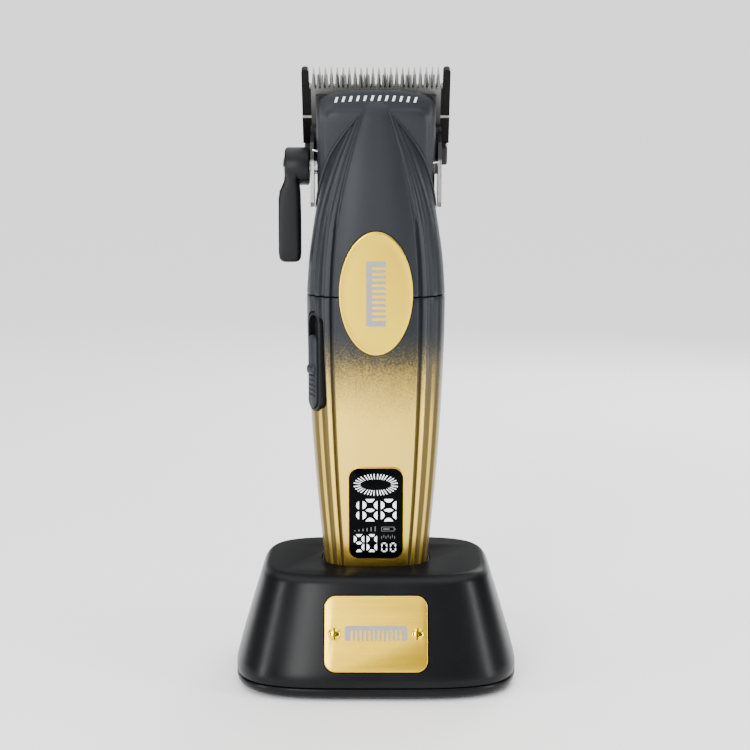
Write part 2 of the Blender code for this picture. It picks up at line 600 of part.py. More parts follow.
def build_head():
    blade = bpy.data.objects["blade_frame"]
    cover_rear = bpy.data.objects["cover_rear"]
    cover_front = bpy.data.objects["cover_front"]

    fixed = comb(FIXED_HALF_WIDTH, FIXED_LENGTH, FIXED_TEETH, TOOTH_PITCH, TOOTH_LENGTH, 0.85, 1.5)
    fixed = add("fixed_blade", plate(fixed, FIXED_THICKNESS), "black_steel", parent=blade)
    fixed.location = Vector((0, FIXED_THICKNESS / 2, 0)) * MM
    wedge = box((-30, 0, -16), (30, 6, 14))
    wedge = add("fixed_wedge", wedge, parent=blade, location=(0, 1.0, 0), rotation=(9.5, 0, 0))
    boolean(fixed, wedge)
    boolean(fixed, add("fixed_groove", box((-30, 1.4, -18.2), (30, 4, -16.2)), parent=blade))

    heel = add("blade_mount", box((-22.6, -1.9, -MOUNT_LENGTH), (22.6, 2.2, -FIXED_LENGTH - GAP)), "black_plastic")
    heel.parent = blade
    bevel(heel, 0.5)
    tongue = box((-19.5, -1.9, -MOUNT_LENGTH + 2), (19.5, -0.15, -CUTTER_BOTTOM - 1.2))
    boolean(heel, add("mount_tongue", tongue, parent=blade), "UNION")

    chassis = add("head_chassis", box((-20.4, -3.6, -36), (20.4, -2.2, -8)), "steel", parent=blade)
    inner = box((-WINDOW_HALF_WIDTH, -6, -33.5), (WINDOW_HALF_WIDTH, 0, -10))
    arm = [(2.6, 171.9), (-3.2, 168.5), (-3.6, 150), (-2.0, 148.5), (7.0, 148.5), (9.0, 151), (9.9, 159.2)]
    for side, x in (("left", -19.85), ("right", 19.85)):
        boolean(chassis, add(f"chassis_arm_{side}", plate(arm, 1.1, "YZ"), location=(x, 0, 0)), "UNION")
    boolean(chassis, add("chassis_window", inner, parent=blade))
    trims = [
        add("chassis_trim_left", box((-21, -9, -19), (-18.6, 3, 0)), parent=blade),
        add("chassis_trim_right", box((18.6, -9, -19), (21, 3, 0)), parent=blade),
    ]
    for trim in trims:
        boolean(chassis, trim)
    for side, x in (("left", -19.85), ("right", 19.85)):
        hole = cylinder(LEVER_BORE_RADIUS, (x - 2, *LEVER_AXIS), (x + 2, *LEVER_AXIS), 24)
        boolean(chassis, add(f"chassis_hole_{side}", hole))

    for side, x in (("left", -BLADE_SCREW_X), ("right", BLADE_SCREW_X)):
        down = -BLADE_SCREW_DOWN
        hole = add(f"blade_hole_{side}", cylinder(1.5, (x, -9, down), (x, 4, down), 16), parent=blade)
        for part in (fixed, heel, chassis, cover_rear, cover_front):
            boolean(part, hole)
        screw = add(f"blade_screw_{side}", cylinder(1.25, (x, -6.5, down), (x, 2.6, down), 12), "steel")
        screw.parent = blade
        head = bevel(add(f"blade_head_{side}", cylinder(2.9, (x, 2.35, down), (x, 3.7, down), 20)), 0.3)
        head.parent = blade
        boolean(screw, head, "UNION")
        slot = add(f"blade_slot_{side}", box((x - 2.0, 3.2, down - 0.35), (x + 2.0, 5, down + 0.35)), parent=blade)
        boolean(screw, slot)

    cutter_length = CUTTER_BOTTOM - CUTTER_TOP
    cutter_pitch = 2 * CUTTER_HALF_WIDTH / CUTTER_TEETH
    cutter = comb(CUTTER_HALF_WIDTH, cutter_length, CUTTER_TEETH, cutter_pitch, CUTTER_TOOTH_LENGTH, 0.6, 0.6)
    cutter = add("moving_blade", plate(cutter, 1.5), "steel", parent=blade, location=(0, -0.85, -CUTTER_TOP))
    shave = box((-30, -6, -10), (30, 0, 10))
    shave = add("cutter_wedge", shave, parent=blade, location=(0, -0.75, -CUTTER_TOP), rotation=(-8, 0, 0))
    boolean(cutter, shave)

    yoke = add("drive_yoke", box((-9, -4.8, -19), (9, -1.65, -12.4)), "white_plastic", parent=blade)
    prongs = plate([(4.2, 149), (6.4, 149), (6.4, 176), (4.2, 176)], 4.5)
    mirrored = plate([(-6.4, 149), (-4.2, 149), (-4.2, 176), (-6.4, 176)], 4.5)
    boolean(yoke, add("prong_right", prongs, location=(0, MOTOR_Y, 0)), "UNION")
    boolean(yoke, add("prong_left", mirrored, location=(0, MOTOR_Y, 0)), "UNION")

    carriage = add("taper_carriage", box((-13.2, -3.6, -32), (13.2, -2.3, -21.5)), "steel", parent=blade)
    ear = box((-13.2, -14.9, -32.6), (-11.2, -3.0, -26.4))
    boolean(carriage, add("carriage_ear", ear, parent=blade), "UNION")
    slot = box((-15, -13.9, -29.54 - 1.33), (-10, -10.2, -29.54 + 1.33))
    boolean(carriage, add("carriage_slot", slot, parent=blade))
    leaf = [(-9, -30), (9, -30), (11, -27), (11, -20.6), (9.6, -20.6), (9.6, -26), (7, -28.4)]
    leaf += [(-7, -28.4), (-9.6, -26), (-9.6, -20.6), (-11, -20.6), (-11, -27)]
    leaf = [(x, z + 0.6) for x, z in leaf]
    add("tension_spring", plate(leaf, 0.5), "steel", parent=blade, location=(0, -4.15, 0))


def build_lever():
    """The lever's pieces hang on an empty that sits on its axis; heights are counted from it."""
    axis = frame_at("lever_axis", (0.0, *LEVER_AXIS))
    hub = add("lever_arm", cylinder(LEVER_HUB_RADIUS, (-28.4, 0, 0), (-20.7, 0, 0), 32), "black_plastic", axis)
    bevel(hub, 0.4)
    sections = [
        (-29.7, -29.9, -23.8, -4.6, -0.6),
        (-28.7, -30.5, -23.2, -5.2, 0.2),
        (-8.1, -30.5, -23.2, -5.6, 1.0),
        (-4.6, -28.6, -23.6, -5.6, 1.2),
        (-0.1, -28.0, -24.4, -5.6, 1.2),
    ]
    rings = []
    for height, low_x, high_x, low_y, high_y in sections:
        outline = rounded_rectangle(high_x - low_x, high_y - low_y, 1.0, 3)
        middle_x, middle_y = (low_x + high_x) / 2, (low_y + high_y) / 2
        rings.append([(middle_x + across, middle_y + along, height) for across, along in outline])
    boolean(hub, add("lever_paddle", loft(rings), parent=axis), "UNION")
    boolean(hub, add("hub_bore", cylinder(LEVER_BORE_RADIUS, (-27.2, 0, 0), (-19, 0, 0), 24), parent=axis))
    boolean(hub, add("cap_recess", cylinder(4.4, (-30, 0, 0), (-27.9, 0, 0), 24), parent=axis))
    dome = [(0.0, 1.45), (1.6, 1.35), (2.9, 1.05), (3.7, 0.65), (4.15, 0.0), (0.0, 0.0)]
    add_turned("lever_cap", dome, "chrome", 24, parent=axis, location=(-27.95, 0, 0), rotation=(0, -90, 0))

    shaft = cylinder(LEVER_SHAFT_RADIUS, (-27.0, 0, 0), (-15.0, 0, 0), 24)
    shaft = add("lever_shaft", shaft, "steel", axis)
    boolean(shaft, add("cam_disc", cylinder(2.9, (-16.0, 0, 0), (-14.0, 0, 0), 24), parent=axis), "UNION")
    pin_y, pin_z = -CAM_THROW * math.sin(math.radians(BLADE_TILT)), -CAM_THROW * math.cos(math.radians(BLADE_TILT))
    pin = cylinder(CAM_PIN_RADIUS, (-15, pin_y, pin_z), (-10.9, pin_y, pin_z), 20)
    boolean(shaft, add("cam_pin", pin, parent=axis), "UNION")


def build_drive():
    can = [(1.08, 130.6), (3.2, 130.6), (3.2, 128), (11.4, 128), (12.0, 127.4), (12.0, 98), (11.2, 98)]
    can += [(11.2, 127), (1.08, 127)]
    place = {"location": (0, MOTOR_Y, 0)}
    add_turned("motor_can", can, "steel", 28, **place)
    add_turned("motor_cap", [(1.08, 97.8), (11.9, 97.8), (11.9, 96.6), (4, 96.6), (4, 96), (1.08, 96)],
               "white_plastic", 28, **place)
    for side, turn in (("left", 90), ("right", -90)):
        magnet = add_turned(f"magnet_{side}", [(9.0, 123), (10.9, 123), (10.9, 103), (9.0, 103)], "black_steel",
                            24, **place)
        half = box((-13, -1.5, 100), (13, 13, 126))
        boolean(magnet, add(f"magnet_cut_{side}", half, rotation=(0, 0, turn), **place))
    rotor = [(0, 148), (1.0, 148), (1.0, 125.5), (2.2, 125.5), (2.2, 123), (8.5, 123), (8.5, 104), (2.2, 104)]
    rotor += [(2.2, 99.5), (1.0, 99.5), (1.0, 94.5), (0, 94.5)]
    add_turned("motor_rotor", rotor, "steel", 24, **place)
    eccentric = add("eccentric", cylinder(4.4, (0, 0, 142), (0, 0, 148.4), 24), "steel", **place)
    boolean(eccentric, add("eccentric_bore", cylinder(1.06, (0, 0, 141), (0, 0, 148.2), 24), **place))
    pin = cylinder(1.2, (DRIVE_THROW, 0, 148.3), (DRIVE_THROW, 0, 155), 16)
    boolean(eccentric, add("eccentric_pin", pin, **place), "UNION")
    ring = [(1.27, 154), (BEARING_RADIUS, 154), (BEARING_RADIUS, 150), (1.27, 150)]
    add_turned("drive_bearing", ring, "chrome", 20, location=(DRIVE_THROW, MOTOR_Y, 0))
    bracket = add("motor_bracket", cylinder(13.5, (0, 0, 128.4), (0, 0, 130.2), 28), "steel", **place)
    boolean(bracket, add("bracket_bore", cylinder(3.4, (0, 0, 127), (0, 0, 132), 24), **place))


build_stand()
build_housing()
build_switch()
build_head()
build_lever()
build_drive()
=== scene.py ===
"""Looks for a cordless hair clipper standing in its charging stand.

Sizes are in millimetres in the settings and the helpers, and MM turns them into metres where meshes are made.
+Z is up, the badge faces -Y and the skin side faces +Y.
"""
import math

import bmesh
import bpy
from bpy.props import FloatProperty, FloatVectorProperty, IntProperty, PointerProperty
from bpy.types import Operator, Panel, PropertyGroup
from mathutils import Euler, Matrix, Vector


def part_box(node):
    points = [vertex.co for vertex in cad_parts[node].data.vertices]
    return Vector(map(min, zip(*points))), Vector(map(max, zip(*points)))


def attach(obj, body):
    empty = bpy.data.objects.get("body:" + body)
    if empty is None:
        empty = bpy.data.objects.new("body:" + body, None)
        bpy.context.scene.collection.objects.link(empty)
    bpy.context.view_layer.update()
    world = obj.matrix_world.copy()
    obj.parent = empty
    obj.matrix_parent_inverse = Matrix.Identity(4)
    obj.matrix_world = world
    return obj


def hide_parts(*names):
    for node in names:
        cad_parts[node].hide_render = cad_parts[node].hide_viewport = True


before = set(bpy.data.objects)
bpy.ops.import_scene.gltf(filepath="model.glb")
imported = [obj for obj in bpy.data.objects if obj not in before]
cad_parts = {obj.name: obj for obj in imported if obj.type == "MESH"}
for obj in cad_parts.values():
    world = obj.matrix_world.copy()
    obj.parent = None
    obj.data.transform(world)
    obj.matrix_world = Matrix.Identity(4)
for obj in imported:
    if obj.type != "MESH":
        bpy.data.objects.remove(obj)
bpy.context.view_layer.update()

bl_info = {
    "name": "Hair clipper looks",
    "version": (1, 0, 0),
    "blender": (4, 5, 0),
    "location": "3D View > Sidebar > Clipper",
    "description": "Builds the visible shell, blades, display, badge and finishes around the clipper's frame",
    "category": "Object",
}

MM = 0.001


# ---------------------------------------------------------------- reading the frame


def node_box(*names):
    """Lowest and highest corner of one or more CAD nodes, in millimetres."""
    corners = [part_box(name) for name in names]
    low = [min(box[0][axis] for box in corners) / MM for axis in range(3)]
    high = [max(box[1][axis] for box in corners) / MM for axis in range(3)]
    return Vector(low), Vector(high)


SLEEVE_LOW, SLEEVE_HIGH = node_box("lower_sleeve")
COVER_LOW, COVER_HIGH = node_box("cover_front", "cover_rear")
STAND_LOW, STAND_HIGH = node_box("stand_shell")
BASE_LOW, BASE_HIGH = node_box("base_plate")
BADGE_LOW, BADGE_HIGH = node_box("oval_badge")
LEVER_LOW = node_box("lever_arm")[0]
LEVER_AXIS_Z = 161.1
LEVER_SHAFT_BORE = 2.3
BASE_SCREW_X = 36


# ---------------------------------------------------------------- settings


def length(name, description, default):
    return FloatProperty(name=name, description=description, default=default * MM, unit="LENGTH", precision=5)


def colour(name, description, default):
    return FloatVectorProperty(name=name, description=description, default=default, subtype="COLOR", size=3,
                               min=0.0, max=1.0)


class HousingSettings(PropertyGroup):
    slate: colour("Slate", "Paint of the upper cover and the top of the sleeve", (0.0125, 0.0148, 0.0185))
    gold: colour("Gold paint", "Metallic paint of the lower sleeve", (0.90, 0.61, 0.10))
    fade_top: length("Fade top", "Height where the gold spray ends", 112.5)
    fade_bottom: length("Fade bottom", "Height where the sleeve is fully gold", 95.0)
    groove_depth: length("Groove depth", "Depth of the side grooves", 0.95)
    wall: length("Wall", "Thickness of the housing wall", 1.6)


class TrimSettings(PropertyGroup):
    satin: colour("Satin gold", "Badge and plate", (1.0, 0.64, 0.03))
    ink: colour("Ink", "Glyphs on the badge and the plate", (0.30, 0.29, 0.28))
    light: colour("Display light", "Lit parts of the display", (0.95, 0.97, 1.0))
    glow: FloatProperty(name="Glow", description="Strength of the display", default=1.45, min=0.0)


class BladeSettings(PropertyGroup):
    fixed_teeth: IntProperty(name="Fixed teeth", description="Teeth of the fixed blade", default=22, min=8)
    moving_teeth: IntProperty(name="Moving teeth", description="Teeth of the moving blade", default=28, min=8)
    steel: colour("Steel", "Ground steel of the moving blade", (0.30, 0.297, 0.29))
    coating: colour("Coating", "Black coating of the fixed blade", (0.0022, 0.0022, 0.0024))


class StandSettings(PropertyGroup):
    gloss: colour("Gloss black", "Moulded stand shell", (0.0035, 0.0037, 0.0042))
    edge: length("Edge rounding", "Rounding between the stand's top and its sides", 3.2)


class StageSettings(PropertyGroup):
    lens: FloatProperty(name="Lens", description="Focal length on a 36 mm film back",
                        default=85.53, unit="CAMERA")
    distance: length("Distance", "Camera distance from the clipper's axis", 560.0)
    height: length("Camera height", "Height of the camera above the floor", 178.0)
    pitch: FloatProperty(name="Pitch", description="How far the camera looks down", default=math.radians(8.415),
                         subtype="ANGLE")
    floor: colour("Floor", "Pale floor and backdrop", (0.93, 0.93, 0.93))


class ClipperSettings(PropertyGroup):
    housing: PointerProperty(type=HousingSettings)
    trim: PointerProperty(type=TrimSettings)
    blades: PointerProperty(type=BladeSettings)
    stand: PointerProperty(type=StandSettings)
    stage: PointerProperty(type=StageSettings)


def settings():
    return bpy.context.scene.clipper_looks


# ---------------------------------------------------------------- shader maths


class Wire:
    """A value in a material's node tree. Arithmetic on wires adds Math nodes."""

    def __init__(self, finish, socket):
        self.finish = finish
        self.socket = socket

    def math(self, operation, first, second=0.0, third=0.0):
        return self.finish.node("ShaderNodeMath", {"operation": operation}, {0: first, 1: second, 2: third})

    def __add__(self, other):
        return self.math("ADD", self, other)

    def __sub__(self, other):
        return self.math("SUBTRACT", self, other)

    def __rsub__(self, other):
        return self.math("SUBTRACT", other, self)

    def __mul__(self, other):
        return self.math("MULTIPLY", self, other)

    def __truediv__(self, other):
        return self.math("DIVIDE", self, other)

    def __pow__(self, other):
        return self.math("POWER", self, other)

    __radd__ = __add__
    __rmul__ = __mul__

    def at_least(self, other):
        return self.math("MAXIMUM", self, other)

    def size(self):
        return self.math("ABSOLUTE", self)

    def wave(self):
        return self.math("SINE", self)

    def step(self, start, end):
        """0 below start and 1 above end, eased between."""
        settings_ = {"interpolation_type": "SMOOTHSTEP"}
        return self.finish.node("ShaderNodeMapRange", settings_,
                                {"Value": self, "From Min": start, "From Max": end})


class Finish:
    """One material, or the world: its node tree, the wires through it and its shader."""

    def __init__(self, name, collection=bpy.data.materials, shader="Principled BSDF"):
        self.material = collection.new(name)
        self.material.use_nodes = True
        self.tree = self.material.node_tree
        self.shader = self.tree.nodes[shader]

    def node(self, kind, choices=None, sockets=None, output=0):
        """Adds a node: its choices are set first, then its sockets take values or wires."""
        node = self.tree.nodes.new(kind)
        for name, value in (choices or {}).items():
            setattr(node, name, value)
        for name, value in (sockets or {}).items():
            self.feed(node.inputs[name], value)
        return Wire(self, node.outputs[output])

    def feed(self, socket, value):
        if isinstance(value, Wire):
            self.tree.links.new(value.socket, socket)
        elif hasattr(value, "__len__") and len(value) == 3 and socket.type == "RGBA":
            socket.default_value = (*value, 1.0)
        else:
            socket.default_value = value

    def place(self):
        return self.node("ShaderNodeTexCoord", output=3)

    def split(self, vector):
        outputs = self.node("ShaderNodeSeparateXYZ", sockets={0: vector}).socket.node.outputs
        return [Wire(self, outputs[axis]) for axis in range(3)]

    def axes(self):
        """The X, Y and Z of a point on the piece, in millimetres."""
        return [part / MM for part in self.split(self.place())]

    def stretched(self, x, y, z):
        """The place on the piece with each axis scaled."""
        return self.node("ShaderNodeVectorMath", {"operation": "MULTIPLY"}, {0: self.place(), 1: (x, y, z)})

    def noise(self, scale, detail=3.0, roughness=0.5, vector=None):
        sockets = {"Vector": vector or self.place(), "Scale": scale, "Detail": detail, "Roughness": roughness}
        return self.node("ShaderNodeTexNoise", {}, sockets)

    def specks(self, scale):
        """Distance to the nearest of many scattered points."""
        return self.node("ShaderNodeTexVoronoi", {}, {"Vector": self.place(), "Scale": scale})

    def blend(self, mask, first, second):
        """first where mask is 0 and second where it is 1."""
        return self.node("ShaderNodeMix", {"data_type": "RGBA"}, {0: mask, 6: first, 7: second}, output=2)

    def bump(self, height, strength, distance):
        sockets = {"Height": height, "Strength": strength, "Distance": distance * MM}
        return self.node("ShaderNodeBump", {}, sockets)

    def surface(self, **sockets):
        for name, value in sockets.items():
            self.feed(self.shader.inputs[name.replace("_", " ")], value)
        return self.material

    def mirroring(self, level):
        """How strongly the bare surface mirrors: 0 not at all, 0.5 like common plastic."""
        self.shader.inputs["Specular IOR Level"].default_value = level

    def dulled(self, mask, base):
        """Lays a black that mirrors nothing over the finish wherever mask is 1."""
        sockets = {"Base Color": base, "Roughness": 0.6, "Specular IOR Level": 0.0}
        dull = self.node("ShaderNodeBsdfPrincipled", {}, sockets)
        mixed = self.node("ShaderNodeMixShader", {}, {0: mask, 1: Wire(self, self.shader.outputs[0]), 2: dull})
        self.feed(self.tree.nodes["Material Output"].inputs["Surface"], mixed)
        return self.material


def shade(colour_, factor):
    return tuple(channel * factor for channel in colour_)


def plastic(name, base, roughness=0.42, grain=900.0, depth=0.02, coat=0.0):
    """Moulded plastic with a fine spark-eroded grain and faint handling marks."""
    finish = Finish(name)
    grain_height = finish.noise(grain, 2.0)
    marks = finish.noise(55.0, 4.0, 0.6)
    colour_ = finish.blend(marks.step(0.35, 0.7), shade(base, 0.9), shade(base, 1.12))
    rough = roughness - 0.05 + marks * 0.1
    bump = finish.bump(grain_height, 0.35, depth)
    finish.shader.inputs["Coat Roughness"].default_value = 0.12
    finish.mirroring(0.2)
    return finish.surface(Base_Color=colour_, Roughness=rough, Normal=bump, Coat_Weight=coat)


def brushed_metal(name, base, roughness=0.3, along=(12.0, 1.0, 1.0), depth=0.012, streaks=700.0, metallic=1.0):
    """Metal with a directional brushing: streaks run along the axis with the smallest stretch."""
    finish = Finish(name)
    lines = finish.noise(streaks, 3.0, 0.6, finish.stretched(*along))
    clouds = finish.noise(40.0, 3.0)
    colour_ = finish.blend(lines.step(0.3, 0.7), shade(base, 0.93), shade(base, 1.05))
    rough = roughness - 0.04 + clouds * 0.05 + lines * 0.06
    bump = finish.bump(lines, 0.35, depth)
    return finish.surface(Base_Color=colour_, Metallic=metallic, Roughness=rough, Normal=bump)


SOOT = (0.075, 0.066, 0.046)
# painted shade colour for the sleeve's side grooves and outer edges
SHADE_OLIVE = (0.026, 0.022, 0.013)


def sprayed_sleeve():
    """Gold metallic paint fading to slate through a fine speckle towards the seam, with painted shade in its
    side grooves and edges.
    """
    house = settings().housing
    finish = Finish("sleeve_fade_paint")
    x, y, z = finish.axes()
    low, high = house.fade_bottom / MM, house.fade_top / MM
    mist = finish.noise(1700.0, 2.0, 0.6)
    cloud = finish.noise(110.0, 3.0, 0.55)
    height = z + (mist - 0.5) * 15.0 + (cloud - 0.5) * 5.0
    slate_share = height.step(low + 2.0, high)
    soot = height.step(low - 16.0, high - 6.0)
    half_width = (1.0 - ((SEAM - z).at_least(0.0) / TAPER_LENGTH) ** TAPER_POWER) * WIDEST
    share = x.size() / half_width
    # painted shade: the outer edges and the side grooves darken to olive, on the front and flanks only
    front = 1.0 - y.step(-2.0, 5.0)
    shadow = share.step(0.76, 0.96) * 0.88
    for centre, half in GROOVES:
        shadow = shadow.at_least(1.0 - (share - centre).size().step(half * 0.7, half * 1.3))
    bright = finish.blend(shadow * front * 0.9, tuple(house.gold), SHADE_OLIVE)
    gold = finish.blend(soot, bright, SOOT)
    colour_ = finish.blend(slate_share, gold, tuple(house.slate))
    # the painted shade is also less metallic
    metallic = 1.0 - (slate_share * 0.85).at_least(shadow * front * 0.5)
    rough = 0.29 + slate_share * 0.12 + (mist - 0.5) * 0.04
    bump = finish.bump(mist, 0.1, 0.01)
    finish.mirroring(0.25)
    return finish.surface(Base_Color=colour_, Metallic=metallic, Roughness=rough, Normal=bump)


def slate_paint():
    """Soft-touch slate paint with a faint metallic fleck."""
    house = settings().housing
    finish = Finish("slate_soft_paint")
    fleck = finish.specks(3800.0)
    cloud = finish.noise(60.0, 3.0)
    colour_ = finish.blend(fleck.step(0.12, 0.4), shade(house.slate, 1.25), tuple(house.slate))
    rough = 0.42 + cloud * 0.08
    bump = finish.bump(finish.noise(1300.0, 2.0), 0.2, 0.015)
    finish.mirroring(0.25)
    return finish.surface(Base_Color=colour_, Metallic=0.1, Roughness=rough, Normal=bump)


def gloss_black():
    """Polished black moulding with dust-fine haze, and painted shade over the flat top: a black that mirrors
    nothing.
    """
    finish = Finish("stand_gloss_black")
    haze = finish.noise(35.0, 4.0, 0.6)
    scuffs = finish.noise(420.0, 2.0, 0.5, finish.stretched(1.0, 1.0, 0.2))
    base = tuple(settings().stand.gloss)
    colour_ = finish.blend(haze.step(0.3, 0.7), base, shade(base, 1.5))
    rough = 0.27 + haze * 0.06 + scuffs * 0.03
    bump = finish.bump(scuffs, 0.06, 0.01)
    finish.mirroring(0.14)
    finish.surface(Base_Color=colour_, Roughness=rough, Normal=bump)
    # painted shade: the flat top is laid with a dark black that mirrors nothing
    return finish.dulled(finish.axes()[2].step(STAND_HIGH.z - 1.4, STAND_HIGH.z - 0.1) * 0.84, shade(base, 1.6))


def satin_gold(name, factor=1.0, roughness=0.30):
    finish = Finish(name)
    base = shade(settings().trim.satin, factor)
    frost = finish.noise(2600.0, 2.0)
    cloud = finish.noise(45.0, 3.0)
    colour_ = finish.blend(cloud.step(0.3, 0.7), shade(base, 0.97), shade(base, 1.04))
    rough = roughness + (frost - 0.5) * 0.08
    return finish.surface(Base_Color=colour_, Metallic=1.0, Roughness=rough,
                          Normal=finish.bump(frost, 0.2, 0.01))


def glowing(name, strength, base=0.9):
    """Lit segments, with the faint unevenness of a light guide."""
    finish = Finish(name)
    cells = finish.noise(900.0, 1.0)
    tone = finish.blend(cells.step(0.2, 0.8), shade(settings().trim.light, 0.9), tuple(settings().trim.light))
    finish.shader.inputs["Emission Strength"].default_value = strength
    finish.mirroring(0.1)
    return finish.surface(Base_Color=finish.blend(base, (0.0, 0.0, 0.0), tone),
                          Emission_Color=tone, Roughness=0.5)


def printed_ink(name, base):
    finish = Finish(name)
    grain = finish.noise(1800.0, 2.0)
    colour_ = finish.blend(grain.step(0.3, 0.7), shade(base, 0.9), tuple(base))
    return finish.surface(Base_Color=colour_, Roughness=0.55, Metallic=0.2,
                          Normal=finish.bump(grain, 0.2, 0.01))


def smoked_window():
    finish = Finish("display_smoked_pane")
    haze = finish.noise(70.0, 3.0)
    colour_ = finish.blend(haze, (0.0008, 0.0008, 0.001), (0.0014, 0.0014, 0.0018))
    finish.mirroring(0.03)
    return finish.surface(Base_Color=colour_, Roughness=0.06 + haze * 0.04,
                          Normal=finish.bump(haze, 0.02, 0.01))


def circuit_board():
    """Green solder mask with copper tracks and pads."""
    finish = Finish("board_green_mask")
    x, _, z = finish.axes()
    tracks = ((x * 2.6).wave() * (z * 1.9).wave()).size().step(0.08, 0.14)
    pads = finish.specks(650.0).step(0.16, 0.2)
    green = finish.blend(tracks, (0.03, 0.22, 0.10), (0.012, 0.12, 0.05))
    colour_ = finish.blend(pads, (0.75, 0.55, 0.25), green)
    return finish.surface(Base_Color=colour_, Roughness=0.35, Metallic=(1.0 - pads) * 0.8,
                          Normal=finish.bump(tracks, 0.3, 0.03))


def shrink_wrap():
    finish = Finish("cell_blue_wrap")
    z = finish.axes()[2]
    creases = finish.noise(160.0, 3.0, 0.6, finish.stretched(1.0, 1.0, 0.15))
    ends = (z - 60.5).size().step(31.0, 31.8)
    colour_ = finish.blend(ends, (0.02, 0.14, 0.36), (0.62, 0.62, 0.60))
    return finish.surface(Base_Color=colour_, Roughness=0.28 + creases * 0.15, Metallic=ends,
                          Normal=finish.bump(creases, 0.3, 0.05))


def rubber():
    finish = Finish("foot_rubber")
    dust = finish.noise(260.0, 4.0, 0.6)
    colour_ = finish.blend(dust.step(0.45, 0.75), (0.016, 0.016, 0.016), (0.05, 0.05, 0.048))
    return finish.surface(Base_Color=colour_, Roughness=0.8, Normal=finish.bump(dust, 0.4, 0.05))


def ferrite():
    finish = Finish("magnet_ferrite")
    grain = finish.noise(700.0, 3.0)
    colour_ = finish.blend(grain, (0.03, 0.03, 0.033), (0.07, 0.07, 0.075))
    return finish.surface(Base_Color=colour_, Metallic=0.5, Roughness=0.55,
                          Normal=finish.bump(grain, 0.4, 0.04))


# ---------------------------------------------------------------- mesh tools, all in millimetres


def mesh_of(bm, name="shape"):
    mesh = bpy.data.meshes.new(name)
    bm.to_mesh(mesh)
    bm.free()
    return mesh


def moved(mesh, location=(0, 0, 0), rotation=(0, 0, 0)):
    """The mesh turned by degrees about X, Y and Z, then shifted."""
    turn = Euler([math.radians(a) for a in rotation]).to_matrix().to_4x4()
    mesh.transform(Matrix.Translation(Vector(location)) @ turn)
    return mesh


def joined(meshes):
    bm = bmesh.new()
    for mesh in meshes:
        bm.from_mesh(mesh)
        bpy.data.meshes.remove(mesh)
    return mesh_of(bm)


def rows_mesh(rows, wrap=True, capped=True):
    """Skin through rows of points; capped rows make a closed body."""
    bm = bmesh.new()
    lines = [[bm.verts.new(point) for point in row] for row in rows]
    count = len(lines[0])
    for low, high in zip(lines, lines[1:]):
        for i in range(count if wrap else count - 1):
            j = (i + 1) % count
            bm.faces.new((low[i], low[j], high[j], high[i]))
    if capped:
        bm.faces.new(list(reversed(lines[0])))
        bm.faces.new(lines[-1])
    bmesh.ops.recalc_face_normals(bm, faces=bm.faces)
    return mesh_of(bm)


def block(low, high, rounding=0.0, segments=3):
    bm = bmesh.new()
    bmesh.ops.create_cube(bm, size=1.0)
    low, high = Vector(low), Vector(high)
    bmesh.ops.scale(bm, vec=high - low, verts=bm.verts)
    bmesh.ops.translate(bm, vec=(low + high) / 2, verts=bm.verts)
    if rounding:
        bmesh.ops.bevel(bm, geom=bm.edges[:], offset=rounding, segments=segments, profile=0.5, affect="EDGES")
    return mesh_of(bm)


def slab(outline, thickness, rounding=0.0, segments=2):
    """An outline in X and Z, thickened evenly about Y = 0, with its rims rounded."""
    bm = bmesh.new()
    face = bm.faces.new([bm.verts.new((x, -thickness / 2, z)) for x, z in outline])
    extruded = bmesh.ops.extrude_face_region(bm, geom=[face])["geom"]
    bmesh.ops.translate(bm, vec=(0, thickness, 0),
                        verts=[v for v in extruded if isinstance(v, bmesh.types.BMVert)])
    bmesh.ops.recalc_face_normals(bm, faces=bm.faces)
    if rounding:
        rims = [edge for edge in bm.edges if abs(edge.verts[0].co.y - edge.verts[1].co.y) < thickness / 2]
        bmesh.ops.bevel(bm, geom=rims, offset=rounding, segments=segments, profile=0.5, affect="EDGES")
    return mesh_of(bm)


def turned(profile, steps=64):
    """A closed (radius, height) profile turned about Z; it may start and end on the axis."""
    bm = bmesh.new()
    points = [bm.verts.new((r, 0, z)) for r, z in profile]
    edges = [bm.edges.new(pair) for pair in zip(points, points[1:])]
    if all(r > 0 for r, _ in profile):
        edges.append(bm.edges.new((points[-1], points[0])))
    bmesh.ops.spin(bm, geom=points + edges, cent=(0, 0, 0), axis=(0, 0, 1), angle=math.tau, steps=steps)
    bmesh.ops.remove_doubles(bm, verts=bm.verts, dist=1e-4)
    bmesh.ops.recalc_face_normals(bm, faces=bm.faces)
    return mesh_of(bm)


def rod(radius, top, bottom, sides):
    """A plain round bar about Z."""
    return turned([(0, top), (radius, top), (radius, bottom), (0, bottom)], sides)


def carved(mesh, *cutters, operation="DIFFERENCE", solver="EXACT"):
    """The mesh with each cutter taken away, or joined on, as one closed body."""
    subject = bpy.data.objects.new("subject", mesh)
    bpy.context.scene.collection.objects.link(subject)
    helpers = []
    for cutter in cutters:
        helper = bpy.data.objects.new("helper", cutter)
        bpy.context.scene.collection.objects.link(helper)
        helpers.append(helper)
        modifier = subject.modifiers.new("carve", "BOOLEAN")
        modifier.operation = operation
        modifier.object = helper
        modifier.solver = solver
    graph = bpy.context.evaluated_depsgraph_get()
    graph.update()
    result = bpy.data.meshes.new_from_object(subject.evaluated_get(graph))
    if not result.polygons:
        raise RuntimeError(f"{operation.lower()} left nothing of {mesh.name}")
    for obj in (subject, *helpers):
        data = obj.data
        bpy.data.objects.remove(obj)
        bpy.data.meshes.remove(data)
    return result


